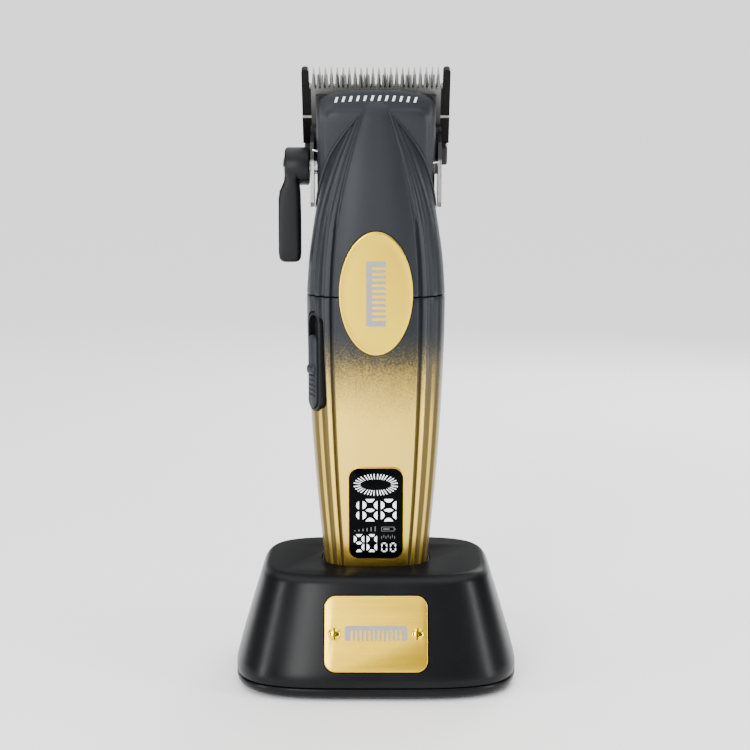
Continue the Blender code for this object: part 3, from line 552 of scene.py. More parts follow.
def piece(name, mesh, material, body, replaced=(), sharp=32.0):
    """Turns a finished mesh into a piece that rides on a body and stands for CAD nodes."""
    mesh.transform(Matrix.Scale(MM, 4))
    mesh.name = name
    mesh.materials.clear()
    mesh.materials.append(material)
    mesh.shade_smooth()
    mesh.set_sharp_from_angle(angle=math.radians(sharp))
    obj = bpy.data.objects.new(name, mesh)
    bpy.context.scene.collection.objects.link(obj)
    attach(obj, body)
    if replaced:
        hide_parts(*replaced)
    return obj


def finish_nodes(material, *names):
    """Gives CAD nodes that stay in sight a finish of their own."""
    for name in names:
        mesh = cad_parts[name].data
        mesh.materials.clear()
        mesh.materials.append(material)


# ---------------------------------------------------------------- outlines and curves


def eased(table, z):
    """Smooth reading of a short (height, value) table."""
    if z <= table[0][0]:
        return table[0][1]
    if z >= table[-1][0]:
        return table[-1][1]
    slopes = [(b[1] - a[1]) / (b[0] - a[0]) for a, b in zip(table, table[1:])]
    tangents = [slopes[0]] + [(a + b) / 2 for a, b in zip(slopes, slopes[1:])] + [slopes[-1]]
    for i, ((z0, v0), (z1, v1)) in enumerate(zip(table, table[1:])):
        if z <= z1:
            span = z1 - z0
            t = (z - z0) / span
            rise = v0 * (1 + 2 * t) * (1 - t) ** 2 + v1 * t * t * (3 - 2 * t)
            return rise + span * (tangents[i] * t * (1 - t) ** 2 + tangents[i + 1] * t * t * (t - 1))


def ramp(value, start, end):
    t = min(max((value - start) / (end - start), 0.0), 1.0)
    return t * t * (3 - 2 * t)


def steps(low, high, count):
    return [low + (high - low) * i / (count - 1) for i in range(count)]


def rounded_rectangle(width, height, radius, corner_points=10):
    outline = []
    for side_x, side_z, start in ((1, 1, 0), (-1, 1, 90), (-1, -1, 180), (1, -1, 270)):
        for i in range(corner_points):
            angle = math.radians(start + 90 * i / (corner_points - 1))
            x = side_x * (width / 2 - radius) + radius * math.cos(angle)
            z = side_z * (height / 2 - radius) + radius * math.sin(angle)
            outline.append((x, z))
    return outline


def stadium(width, height, corner_points=16):
    return rounded_rectangle(width, height, width / 2 - 0.01, corner_points)


def superellipse(angle, half_width, half_depth, power):
    c, s = math.cos(angle), math.sin(angle)
    x = half_width * math.copysign(abs(c) ** (2 / power), c)
    y = half_depth * math.copysign(abs(s) ** (2 / power), s)
    return x, y


# ---------------------------------------------------------------- housing shape

SEAM = (SLEEVE_HIGH.z + COVER_LOW.z) / 2
WIDEST = SLEEVE_HIGH.x
DEEPEST = SLEEVE_HIGH.y
TAPER_LENGTH = 185.3
TAPER_POWER = 1.816
DEPTH_TAPER_SHARE = 1.15
FRONT_POWER = 3.1
BACK_POWER = 2.8
FRONT_POINTS = 220
BACK_POINTS = 60
GROOVES = ((0.632, 0.034), (0.775, 0.048), (0.905, 0.036))
SPEAR_WIDTH = ((SEAM, WIDEST), (133, 20.9), (140.5, 19.9), (148, 18.7), (158, 16.8), (164.5, 14.9), (170, 12.2),
               (175.5, 9.0), (179.5, 6.5), (182, 4.5))
SPEAR_FRONT = ((SEAM, DEEPEST), (140, 18.3), (150, 17.7), (160, 16.4), (168, 14.6), (174, 12.9), (179, 11.3),
               (182, 9.0))
SPEAR_LENGTH = 59.5
BLOCK_FRONT = ((135, -2.0), (150, -4.4), (160, -7.2), (168, -9.3), (173, -10.3), (177, -10.7), (181, -9.7),
               (184.5, -8.4))
BLOCK_BACK = ((135, 14.5), (143, 16.4), (150, 16.2), (155, 15.3), (160, 13.2), (168, 8.5),
              (176, 4.0), (184.5, -1.0))
BLOCK_WIDTH = 18.4
BLOCK_POWER = 5.0
LIP_ARCH_FROM = 177.6
LIP_ARCH_POWER = 3.1
PANEL = (16.9, 179.2, 5.0)
PANEL_RISE = 0.5
SEAT_DEPTH = 3.9
COVER_SPLIT_Y = 4.0


def sleeve_taper(z):
    return (max(SEAM - z, 0.0) / TAPER_LENGTH) ** TAPER_POWER


def body_size(z):
    """Half width, front depth and back depth of the sleeve or the spear."""
    if z <= SEAM:
        share = sleeve_taper(z)
        depth = DEEPEST * (1 - DEPTH_TAPER_SHARE * share)
        return WIDEST * (1 - share), depth, depth
    back = DEEPEST * (1 - 0.9 * min((z - SEAM) / SPEAR_LENGTH, 1.0) ** 2.2)
    return eased(SPEAR_WIDTH, z), eased(SPEAR_FRONT, z), back


def groove(share, z):
    """Depth of the side grooves at a share of the half width; they close in on the facet towards the tip."""
    pull = 1 - 0.2 * ramp(z, 142, 172)
    depth = 0.0
    for centre, half in GROOVES:
        reach = 1 - abs(share - centre * pull) / half
        depth = max(depth, ramp(reach, 0.0, 0.62))
    return depth * settings().housing.groove_depth / MM * (1 - 0.6 * ramp(z, 136, 162))


def body_ring(z, inset=0.0, grooved=True, front_points=FRONT_POINTS, back_points=BACK_POINTS):
    half_width, front, back = (size - inset for size in body_size(z))
    ring = []
    for i in range(back_points):
        ring.append((*superellipse(math.pi * i / back_points, half_width, back, BACK_POWER), z))
    for i in range(front_points):
        x, y = superellipse(math.pi * (1 + i / front_points), half_width, front, FRONT_POWER)
        if grooved:
            slope = FRONT_POWER - 1
            normal = Vector((math.copysign((abs(x) / half_width) ** slope, x) / half_width,
                             -((abs(y) / front) ** slope) / front)).normalized()
            depth = groove(abs(x) / half_width, z) * half_width / WIDEST
            x, y = x - normal.x * depth, y - normal.y * depth
        ring.append((x, y, z))
    return ring


def block_ring(z, inset=0.0, back_inset=0.0, count=176, panel=True):
    front, back = eased(BLOCK_FRONT, z) + inset, eased(BLOCK_BACK, z) - back_inset
    middle, half_depth = (front + back) / 2, (back - front) / 2
    rise = min(max(z - LIP_ARCH_FROM, 0.0) / (COVER_HIGH.z - LIP_ARCH_FROM + 0.15), 1.0)
    half_width = BLOCK_WIDTH * (1 - rise**LIP_ARCH_POWER) ** (1 / LIP_ARCH_POWER) - inset
    ring = []
    for i in range(count):
        x, y = superellipse(math.tau * i / count, half_width, half_depth, BLOCK_POWER)
        if panel and y < -0.3 * half_depth:
            y -= PANEL_RISE * panel_share(x, z)
        ring.append((x, y + middle, z))
    return ring


def panel_share(x, z):
    """1 on the raised panel around the spear and 0 on the rim outside it, eased over its rounded edge."""
    half_width, top, radius = PANEL
    across = max(abs(x) - (half_width - radius), 0.0)
    up = max(z - (top - radius), 0.0)
    return 1 - ramp(math.hypot(across, up), radius - 1.5, radius)


def eased_edge_levels(low, high, count, edge=0.35):
    """Heights with two close levels at each end for a rounded rim."""
    return ([low, low + edge * 0.3, low + edge] + steps(low, high, count)[1:-1]
            + [high - edge, high - edge * 0.3, high])


def rim_inset(z, low, high, edge=0.35):
    near = min(z - low, high - z)
    return edge * (1 - math.sqrt(max(1 - (1 - min(near / edge, 1.0)) ** 2, 0.0)))


BLADE_TIP = node_box("fixed_blade")[0].y, node_box("fixed_blade")[1].z - 0.5
BLADE_TILT = 30.0


def on_blade(mesh, location=(0, 0, 0), rotation=(0, 0, 0)):
    """Places a mesh made in the blade's own directions: Z to the tooth tips, Y out of the skin side."""
    moved(mesh, location, rotation)
    return moved(mesh, (0, *BLADE_TIP), (BLADE_TILT, 0, 0))


def inside_housing(levels, inset, front_points=40, back_points=20):
    return rows_mesh([body_ring(z, inset, False, front_points, back_points) for z in levels])


# ---------------------------------------------------------------- stand


def stand_ring(z, half_width, half_depth, power=4.0, count=192):
    return [(*superellipse(math.tau * i / count, half_width, half_depth, power), z) for i in range(count)]


def stand_profile():
    """(height, half width, half depth) up the shell: a near-straight flare, a soft edge, the flat top."""
    edge = settings().stand.edge / MM
    top, bottom = STAND_HIGH.z, STAND_LOW.z
    wide, deep = STAND_HIGH.x, STAND_HIGH.y
    narrow, shallow = wide - 8.0, deep - 10.0
    profile = [(bottom, wide - 0.5, deep - 0.5), (bottom + 0.15, wide - 0.15, deep - 0.15),
               (bottom + 0.5, wide, deep), (bottom + 2.4, wide - 0.05, deep - 0.1)]
    shoulder = top - edge * 0.85
    for z in steps(bottom + 4.5, shoulder, 9):
        share = (z - bottom - 2.4) / (shoulder - bottom - 2.4)
        profile.append((z, wide - (wide - narrow) * share**1.04, deep - (deep - shallow) * share**1.04))
    for i in range(1, 9):
        angle = math.radians(90 * i / 8)
        inward = edge * (0.28 * math.sin(angle) + 0.72 * (1 - math.cos(angle)))
        profile.append((shoulder + (top - shoulder) * math.sin(angle), narrow - inward, shallow - inward))
    return profile


def cup_ring(z, gap, count=160):
    half_width, front, back = (size + gap for size in body_size(z))
    ring = []
    for i in range(count):
        angle = math.tau * i / count
        depth = back if math.sin(angle) > 0 else front
        ring.append((*superellipse(angle, half_width, depth, 2.9), z))
    return ring


class CLIPPER_OT_stand(Operator):
    """Stand shell with its soft top edge, the socket liner, the base band with its screw pockets, feet and
    inlet
    """

    bl_idname = "clipper.stand"
    bl_label = "Stand"

    def execute(self, context):
        black = gloss_black()
        top, bottom = STAND_HIGH.z, STAND_LOW.z
        shell = rows_mesh([stand_ring(z, x, y) for z, x, y in stand_profile()])
        hollow = rows_mesh([stand_ring(z, STAND_HIGH.x - inset, STAND_HIGH.y - inset * 1.1, 3.8, 48)
                            for z, inset in ((bottom - 1, 3.2), (bottom + 4, 3.2), (top - 3.4, 12.4))])
        mouth = [cup_ring(z, gap) for z, gap in ((top - 8, 0.75), (top - 0.5, 0.75), (top - 0.18, 0.85),
                                                 (top, 1.15), (top + 0.5, 2.2))]
        plate_pocket = on_plate(slab(rounded_rectangle(32.2, 23.8, 3.8), 4.0), (0, -0.9, 0))
        inlet_hole = block((-6.3, 30, 6.0), (6.3, 42, 12.6), 0.5)
        shell = carved(shell, hollow, rows_mesh(mouth), plate_pocket, inlet_hole)
        piece("stand_housing", shell, black, "stand", ["stand_shell"], 40)

        floor, rim = 14.9, top - 0.55
        outside = [cup_ring(z, 2.1) for z in (floor - 1.5, 26, top - 3.6)] + [cup_ring(rim - 2.4, 0.6)]
        inside = [cup_ring(z, gap) for z, gap in ((floor, 0.45), (26, 0.45), (rim, 0.45), (top, 0.5))]
        holes = [rod(1.0, 18, 10, 24) for _ in range(2)]
        liner = rows_mesh(outside + [cup_ring(rim, 0.6)])
        liner = carved(liner, rows_mesh(inside), moved(holes[0], (-5, 0, 0)), moved(holes[1], (5, 0, 0)))
        matt = plastic("socket_black_plastic", (0.016, 0.016, 0.017), 0.5)
        piece("socket_liner", liner, matt, "stand", ["stand_cup"], 40)

        low, high = BASE_LOW.z, BASE_HIGH.z
        wide, deep = BASE_HIGH.x, BASE_HIGH.y
        band = [(low, 2.2), (low + 0.25, 1.3), (low + 0.8, 0.55), (low + 1.5, 0.15), (low + 2.1, 0.0),
                (high - 0.35, 0.0), (high - 0.1, 0.15), (high, 0.4)]
        base = rows_mesh([stand_ring(z, wide - inset, deep - inset) for z, inset in band])
        pockets = [rod(5.3, 2.0, -1, 40) for _ in range(4)]
        spots = [foot_middle(i) for i in range(1, 5)]
        pockets = [moved(pocket, (x, y, 0)) for pocket, (x, y) in zip(pockets, spots)]
        for side in (-1, 1):
            pockets.append(moved(rod(2.9, 2.2, -1, 32), (BASE_SCREW_X * side, 0, 0)))
            pockets.append(moved(rod(1.5, 6, 1, 24), (BASE_SCREW_X * side, 0, 0)))
        base = carved(base, *pockets)
        piece("base_band", base, black, "stand", ["base_plate"], 40)

        foot = rubber()
        for i, (x, y) in enumerate(spots, 1):
            profile = [(0, 1.9), (5.0, 1.9), (5.0, 0.7), (4.85, 0.25), (4.5, 0.0), (3.4, 0.0), (3.1, 0.25),
                       (2.6, 0.3), (0, 0.3)]
            pad = moved(turned(profile, 48), (x, y, 0))
            piece(f"foot_pad_{i}", pad, foot, "stand", [f"rubber_foot_{i}"])

        inlet = block((-6, 27.5, 6.3), (6, 36.9, 12.3), 0.45)
        port = moved(slab(stadium(3.3, 9.2), 8.0), (0, 35, 9.3), (0, 90, 0))
        tongue = block((-3.2, 30.5, 8.95), (3.2, 36.0, 9.65), 0.12, 2)
        inlet = joined([carved(inlet, port), tongue])
        piece("charging_port", inlet, matt, "stand", ["power_inlet"])
        return {"FINISHED"}


def foot_middle(number):
    low, high = node_box(f"rubber_foot_{number}")
    return (low.x + high.x) / 2, (low.y + high.y) / 2


PLATE_SLOPE = -20.6
PLATE_CENTRE = (0, -33.0, 20.0)
PLATE_SCREW_X = 12.7


def on_plate(mesh, location=(0, 0, 0), rotation=(0, 0, 0)):
    """Places a mesh made in the name plate's own directions: X across, Z up the slope, -Y outwards."""
    moved(mesh, location, rotation)
    return moved(mesh, PLATE_CENTRE, (PLATE_SLOPE, 0, 0))


def comb_glyph(long, tall, teeth, thickness):
    """A plain barber's comb lying along X: a spine, two guards and evenly spaced teeth, as one outline."""
    top, bottom, spine = tall / 2, -tall / 2, tall * 0.2
    guard = long * 0.09
    pitch = (long - 2 * guard) / (teeth + 0.5)
    outline = [(-long / 2, bottom + 0.3), (-long / 2, top - 0.5), (-long / 2 + 0.5, top), (long / 2 - 0.5, top),
               (long / 2, top - 0.5), (long / 2, bottom + 0.3), (long / 2 - 0.3, bottom),
               (long / 2 - guard, bottom), (long / 2 - guard, spine)]
    for i in range(teeth):
        right = long / 2 - guard - pitch * (i + 0.5)
        left = right - pitch * 0.5
        outline += [(right, spine), (right, bottom + 0.25), (right - 0.15, bottom), (left + 0.15, bottom),
                    (left, bottom + 0.25), (left, spine)]
    outline += [(-long / 2 + guard, spine), (-long / 2 + guard, bottom), (-long / 2 + 0.3, bottom)]
    return slab(outline, thickness)


class CLIPPER_OT_plate(Operator):
    """Brushed gold plate on the stand's slope, its comb glyph and its two slotted screws"""

    bl_idname = "clipper.plate"
    bl_label = "Plate and screws"

    def execute(self, context):
        trim = settings().trim
        brushed = brushed_metal("plate_brushed_gold", tuple(trim.satin), 0.34, (0.06, 1.0, 1.0))
        polished = brushed_metal("screw_polished_gold", shade(trim.satin, 1.12), 0.14,
                                 (1.0, 1.0, 1.0), 0.004, 300.0)
        ink = printed_ink("glyph_grey_ink", trim.ink)
        sheet = slab(rounded_rectangle(31.6, 23.2, 3.5, 14), 1.3, 0.28, 3)
        bores = [moved(rod(1.2, 3, -3, 32), (x, 0, 0), (90, 0, 0)) for x in (-PLATE_SCREW_X, PLATE_SCREW_X)]
        sheet = carved(sheet, *bores)
        piece("gold_plate", on_plate(sheet), brushed, "stand", ["name_plate"])
        glyph = on_plate(comb_glyph(19.0, 4.6, 11, 0.14), (0, -0.69, 0.2))
        piece("plate_comb_glyph", glyph, ink, "stand")
        for side, x, turn in (("left", -PLATE_SCREW_X, 3), ("right", PLATE_SCREW_X, -5)):
            dome = [(0, 1.62), (0.8, 1.58), (1.4, 1.42), (1.8, 1.15), (2.0, 0.8), (2.0, 0.72),
                    (0.95, 0.7), (0.95, -4.0),
                    (0.7, -4.3), (0, -4.3)]
            screw = turned(dome, 48)
            slot = block((-0.3, -3, 1.12), (0.3, 3, 3))
            screw = moved(carved(screw, slot), rotation=(0, 0, turn))
            screw = on_plate(screw, (x, 0, 0), (90, 0, 0))
            piece(f"slotted_screw_{side}", screw, polished, "stand", [f"plate_screw_{side}"])
        return {"FINISHED"}


# ---------------------------------------------------------------- sleeve


SWITCH_AXES = (-18.35, -10.95, 101.05)
SWITCH_TURN = -60.0
WINDOW_SIZE = (16.9, 29.3, 3.2)
WINDOW_LEAN = 5.3
WINDOW_MIDDLE = (0.0, -15.0, 53.75)
BADGE_SIZE = ((BADGE_HIGH.x - BADGE_LOW.x) / 2, (BADGE_HIGH.z - BADGE_LOW.z) / 2)
BADGE_MIDDLE = (0.0, -18.5, (BADGE_HIGH.z + BADGE_LOW.z) / 2)


def at_switch(mesh, location=(0, 0, 0), rotation=(0, 0, 0)):
    """Places a mesh made in the switch's own directions: Z up the slot, -Y outwards."""
    moved(mesh, location, rotation)
    return moved(mesh, SWITCH_AXES, (0, 0, SWITCH_TURN))


def at_window(mesh, location=(0, 0, 0)):
    moved(mesh, location)
    return moved(mesh, WINDOW_MIDDLE, (WINDOW_LEAN, 0, 0))


def oval(half_width, half_height, count=96):
    angles = [math.tau * i / count for i in range(count)]
    return [(half_width * math.cos(a), half_height * math.sin(a)) for a in angles]


def badge_pocket(gap, depth):
    return moved(slab(oval(BADGE_SIZE[0] + gap, BADGE_SIZE[1] + gap), depth), (0, -19.6, BADGE_MIDDLE[2]))


class CLIPPER_OT_sleeve(Operator):
    """Grooved lower sleeve in fading paint"""

    bl_idname = "clipper.sleeve"
    bl_label = "Lower sleeve"

    def execute(self, context):
        wall = settings().housing.wall / MM
        low, high = SLEEVE_LOW.z, SLEEVE_HIGH.z
        levels = eased_edge_levels(low, high, 54)
        outside = rows_mesh([body_ring(z, rim_inset(z, low, high)) for z in levels])
        inside = inside_housing([low - 2, low + 20, 60, 80, 100, 114, high - 0.02], wall)
        mouth = rows_mesh([body_ring(high - 0.1, wall, False, 40, 20),
                           [(x, y, high + 2) for x, y, _ in body_ring(high - 0.1, wall, False, 40, 20)]])
        width, height, radius = WINDOW_SIZE
        window = at_window(slab(rounded_rectangle(width + 0.5, height + 0.5, radius + 0.25), 8.0))
        switch = at_switch(slab(stadium(8.1, 31.6), 9.0))
        sleeve = carved(outside, inside, mouth, window, switch, badge_pocket(0.3, 4.0))
        piece("grooved_sleeve", sleeve, sprayed_sleeve(), "clipper", ["lower_sleeve"], 38)
        return {"FINISHED"}


# ---------------------------------------------------------------- covers


def spear_levels():
    low = COVER_LOW.z
    return [low, low + 0.1, low + 0.35] + steps(low + 2, 150, 15) + steps(151.5, 180.9, 24)


def spear_inset(z):
    return rim_inset(z, COVER_LOW.z, COVER_LOW.z + 20) if z < COVER_LOW.z + 0.4 else 0.0


def edge_bead(side):
    """A soft bead along the line where the spear rises out of the head block."""
    path = []
    for z in steps(148.5, 177.2, 26):
        half_width, front, _ = body_size(z)
        face = -eased(BLOCK_FRONT, z) + PANEL_RISE
        share = (1 - min(face / front, 0.999) ** FRONT_POWER) ** (1 / FRONT_POWER)
        path.append(Vector((side * (half_width * share + 0.25), -face + 0.05, z)))
    rows = []
    for i, point in enumerate(path):
        ahead = (path[min(i + 1, len(path) - 1)] - path[max(i - 1, 0)]).normalized()
        across = ahead.cross(Vector((0, -1, 0))).normalized()
        out = across.cross(ahead)
        radius = 0.6 * math.sin(math.pi * min(max(i + 0.3, 0.3), len(path) - 0.7) / len(path)) ** 0.5
        ring = [point + (across * math.cos(a) + out * math.sin(a)) * radius
                for a in (math.tau * k / 14 for k in range(14))]
        rows.append(ring)
    return rows_mesh(rows)


LIP_MARKS = 12


class CLIPPER_OT_covers(Operator):
    """Spear-shaped front cover with the head block behind it, and the rear cover"""

    bl_idname = "clipper.covers"
    bl_label = "Upper covers"

    def execute(self, context):
        wall = settings().housing.wall / MM + 0.2
        spear = rows_mesh([body_ring(z, spear_inset(z)) for z in spear_levels()])
        top = COVER_HIGH.z
        block_levels = ([135, 139, 143, 147] + steps(150, 176, 18) + steps(176.8, top - 1.0, 14)
                        + [top - 0.5, top - 0.2])
        insets = {top - 0.5: 0.05, top - 0.2: 0.3}
        head = rows_mesh([block_ring(z, insets.get(z, 0.0)) for z in block_levels]
                         + [block_ring(top - 0.02, 0.8)])
        hull = carved(spear, head, operation="UNION", solver="MANIFOLD")
        hull = carved(hull, edge_bead(-1), edge_bead(1), operation="UNION", solver="MANIFOLD")
        low = COVER_LOW.z
        spear_in = inside_housing([low + 0.6, 128, 140, 152, 164, 174], wall)
        skirt = body_ring(low + 0.6, wall, False, 40, 20)
        skirt = rows_mesh([[(x, y, low - 2) for x, y, _ in skirt], [(x, y, low + 0.7) for x, y, _ in skirt]])
        head_in = rows_mesh([block_ring(z, wall + 0.4, 7.2, 48, False)
                             for z in (137, 150, 160, 168, 174, 178.5)])
        seat = on_blade(block((-30, -SEAT_DEPTH, -36.6), (30, 30, 20)))
        opening = on_blade(block((-13.5, -9, -33.5), (13.5, 3, -10)))
        hull = carved(hull, spear_in, skirt, head_in, seat, opening)
        slate = slate_paint()
        bore = moved(rod(LEVER_SHAFT_BORE, 6, -6, 48), (-18, 0, LEVER_AXIS_Z), (0, 90, 0))
        ahead = block((-40, COVER_SPLIT_Y - 0.1, 100), (40, 60, 200))
        behind = block((-40, -60, 100), (40, COVER_SPLIT_Y + 0.1, 200))
        front = carved(hull.copy(), ahead, bore, badge_pocket(0.3, 4.0))
        piece("front_cover", front, slate, "clipper", ["cover_front"], 38)
        wells = []
        for side in (-1, 1):
            well = rod(1.5, 6, -6, 32)
            wells.append(moved(well, (11 * side, 14, 132), (90, 0, 0)))
        rear = carved(hull, behind, *wells)
        piece("rear_cover", rear, slate, "clipper", ["cover_rear"], 38)

        white = printed_ink("lip_white_print", (0.86, 0.87, 0.88))
        marks = []
        for i in range(LIP_MARKS):
            x = (i - (LIP_MARKS - 1) / 2) * 2.2
            z = 182.0 - 0.0035 * x * x
            mark = slab([(-0.62, -0.85), (0.12, -0.85), (0.62, 0.85), (-0.12, 0.85)], 0.3, 0.04)
            marks.append(moved(mark, (x, eased(BLOCK_FRONT, z) - 0.06, z), (-22, 0, 0)))
        piece("lip_scale_marks", joined(marks), white, "clipper")
        return {"FINISHED"}


# ---------------------------------------------------------------- badge


class CLIPPER_OT_badge(Operator):
    """Domed oval badge with a bright rim and a comb glyph"""

    bl_idname = "clipper.badge"
    bl_label = "Badge"

    def execute(self, context):
        half_width, half_height = BADGE_SIZE
        x, y, z = BADGE_MIDDLE
        rings = [(1.0, 0.62), (1.0, -0.36), (0.992, -0.48), (0.975, -0.53), (0.955, -0.5), (0.945, -0.49),
                 (0.8, -0.55), (0.55, -0.6), (0.25, -0.64), (0.02, -0.65)]
        face = rows_mesh([[(px, depth, pz) for px, pz in oval(half_width * share, half_height * share)]
                          for share, depth in rings])
        face = moved(face, BADGE_MIDDLE)
        piece("badge_face", face, satin_gold("badge_satin_gold", 1.04, 0.33), "clipper",
              ["oval_badge"], 50)
        glyph = moved(comb_glyph(20.0, 6.0, 9, 0.12), (x, y - 0.66, z), (0, -90, 0))
        ink = printed_ink("badge_glyph_ink", settings().trim.ink)
        piece("badge_comb_glyph", glyph, ink, "clipper")
        return {"FINISHED"}


# ---------------------------------------------------------------- display


DISPLAY_RING = (0.497, 0.181)
DISPLAY_RING_OUTER = (0.41, 0.12)
DISPLAY_RING_INNER = (0.29, 0.062)


def window_point(across, down):
    """A point on the pane from shares of its width and height, counted from the top left corner."""
    width, height, _ = WINDOW_SIZE
    return (across - 0.5) * width, (0.5 - down) * height


def window_shape(points, thickness=0.05):
    return slab([window_point(*point) for point in points], thickness)


def rectangle(left, top, right, bottom):
    return window_shape([(left, bottom), (right, bottom), (right, top), (left, top)])


def half_lens(start, end, bulge, both=False):
    """A segment flat along start to end and swelling by bulge to its right-hand side, or to both sides."""
    outline = []
    for i in range(9):
        t = -1 + i / 4
        swell = 1 - abs(t) ** 2.4
        share = (t + 1) / 2
        outline.append((start[0] + (end[0] - start[0]) * share + bulge[0] * swell,
                        start[1] + (end[1] - start[1]) * share + bulge[1] * swell))
    if both:
        outline += [(start[0] + end[0] - x, start[1] + end[1] - y) for x, y in outline[1:-1]]
    return window_shape(outline)


def digit_segments(digit, left, top, right, bottom, swell):
    """The lit segments of a figure: each is flat outside and swells inwards, with dark corners between."""
    lit = {0: "abcdef", 1: "bc", 8: "abcdefg", 9: "abcdfg"}[digit]
    middle = (top + bottom) / 2
    inset_x, inset_z = (right - left) * 0.2, (bottom - top) * 0.085
    down = swell * WINDOW_SIZE[0] / WINDOW_SIZE[1]
    shapes = {
        "a": ((left + inset_x, top), (right - inset_x, top), (0, down)),
        "d": ((left + inset_x, bottom), (right - inset_x, bottom), (0, -down)),
        "g": ((left + inset_x, middle), (right - inset_x, middle), (0, down * 0.5), True),
        "b": ((right, top + inset_z), (right, middle - inset_z * 0.5), (-swell, 0)),
        "c": ((right, middle + inset_z * 0.5), (right, bottom - inset_z), (-swell, 0)),
        "f": ((left, top + inset_z), (left, middle - inset_z * 0.5), (swell, 0)),
        "e": ((left, middle + inset_z * 0.5), (left, bottom - inset_z), (swell, 0)),
    }
    return [half_lens(*shapes[key]) for key in lit]


def ring_bars():
    """Bars around an oval, in eight groups of four, evenly spaced along its outline."""
    outer, inner = DISPLAY_RING_OUTER, DISPLAY_RING_INNER
    turns = [math.tau * i / 720 for i in range(721)]
    reach = [0.0]
    for a, b in zip(turns, turns[1:]):
        middle = (a + b) / 2
        reach.append(reach[-1] + math.hypot(outer[0] * WINDOW_SIZE[0] * math.cos(middle),
                                            outer[1] * WINDOW_SIZE[1] * math.sin(middle)))

    def point(share, axes):
        wanted = share % 1.0 * reach[-1]
        turn = turns[next(i for i, length_ in enumerate(reach) if length_ >= wanted)]
        return DISPLAY_RING[0] + axes[0] * math.sin(turn), DISPLAY_RING[1] - axes[1] * math.cos(turn)

    bars = []
    for group in range(8):
        for bar in range(4):
            middle = (group + 0.5 + (bar - 1.5) * 0.235) / 8
            first, last = middle - 0.0048, middle + 0.0048
            bars.append(window_shape([point(first, outer), point(last, outer), point(last, inner),
                                      point(first, inner)]))
    return bars


class CLIPPER_OT_display(Operator):
    """Smoked pane, its gold rim and the lit figures behind it"""

    bl_idname = "clipper.display"
    bl_label = "Display"

    def execute(self, context):
        width, height, radius = WINDOW_SIZE
        pane = at_window(slab(rounded_rectangle(width, height, radius, 14), 1.7, 0.12, 2), (0, 0.4, 0))
        piece("smoked_pane", pane, smoked_window(), "clipper", ["display_window"])
        rim = slab(rounded_rectangle(width + 0.5, height + 0.5, radius + 0.25, 14), 1.6, 0.12, 2)
        rim = carved(rim, slab(rounded_rectangle(width + 0.04, height + 0.04, radius + 0.02, 14), 4.0))
        rim = at_window(rim, (0, 0.3, 0))
        piece("display_rim", rim, satin_gold("display_rim_gold", 0.82, 0.26), "clipper", (), 50)

        lit, dim = [], []
        lit += ring_bars()
        large, medium, small = 0.066, 0.05, 0.021
        figures = [(1, 0.12, 0.185, 0.345, 0.585, medium), (8, 0.255, 0.528, 0.34, 0.588, large),
                   (8, 0.592, 0.875, 0.34, 0.588, large), (9, 0.092, 0.28, 0.734, 0.932, medium),
                   (0, 0.33, 0.518, 0.734, 0.932, medium), (0, 0.60, 0.706, 0.83, 0.932, small),
                   (0, 0.764, 0.87, 0.83, 0.932, small)]
        for digit, left, right, top, bottom, swell in figures:
            lit += digit_segments(digit, left, top, right, bottom, swell)
        for i in range(6):
            left = 0.10 + i * 0.075
            dim.append(rectangle(left, 0.69 - i * 0.009, left + 0.02, 0.70))
        for left, top, right, bottom in ((0.60, 0.65, 0.84, 0.655), (0.60, 0.695, 0.84, 0.70),
                                         (0.60, 0.655, 0.61, 0.695), (0.83, 0.655, 0.84, 0.695),
                                         (0.845, 0.668, 0.862, 0.684), (0.635, 0.668, 0.75, 0.682)):
            dim.append(rectangle(left, top, right, bottom))
        for i in range(7):
            left = 0.60 + i * 0.04
            dim.append(rectangle(left, 0.755 - 0.014 * (i % 2), left + 0.012, 0.785 - 0.014 * (i % 2)))
        lit = at_window(joined(lit), (0, -0.47, 0))
        piece("lit_figures", lit, glowing("display_white_light", settings().trim.glow), "clipper")
        dim = at_window(joined(dim), (0, -0.47, 0))
        piece("dim_symbols", dim, glowing("display_faint_light", settings().trim.glow * 0.16, 0.05),
              "clipper")
        return {"FINISHED"}


# ---------------------------------------------------------------- switch


class CLIPPER_OT_switch(Operator):
    """Black switch surround with its detent marks, and the ribbed slider"""

    bl_idname = "clipper.switch"
    bl_label = "Power switch"

    def execute(self, context):
        black = plastic("switch_track_plastic", (0.005, 0.0055, 0.0065), 0.45, 900.0, 0.01)
        surround = slab(stadium(7.5, 31.0, 20), 2.3, 0.2, 3)
        well = moved(slab(stadium(5.9, 29.4, 20), 4.0), (0, -1.2, 0))
        surround = carved(surround, well)
        extras = [moved(slab(rounded_rectangle(1.5, 2.0, 0.3, 5), 0.4, 0.06), (x, 0.7, 11.6))
                  for x in (-1.3, 1.3)]
        extras.append(moved(slab(oval(0.55, 0.55, 32), 0.4, 0.06), (0, 0.7, 13.1)))
        surround = at_switch(joined([surround, *extras]))
        piece("switch_track", surround, black, "clipper", ["switch_surround"])

        slate = plastic("switch_slate_plastic", (0.012, 0.014, 0.0175), 0.4, 900.0, 0.01)
        slider = moved(slab(stadium(5.3, 22.9, 20), 2.3, 0.55, 4), (0, -0.75, -3.0))
        parts = [moved(block((-2.45, -1.3, -1.7), (2.45, 1.2, 1.4), 1.05, 5), (0, -1.45, -2.2))]
        for i in range(5):
            parts.append(moved(block((-1.75, -0.24, -0.42), (1.75, 0.5, 0.42), 0.2),
                               (0, -1.95, -10.5 + i * 1.5)))
        slider = at_switch(joined([slider, *parts]))
        piece("ribbed_slider", slider, slate, "power_slider", ["power_slider"], 45)
        return {"FINISHED"}


# ---------------------------------------------------------------- blades


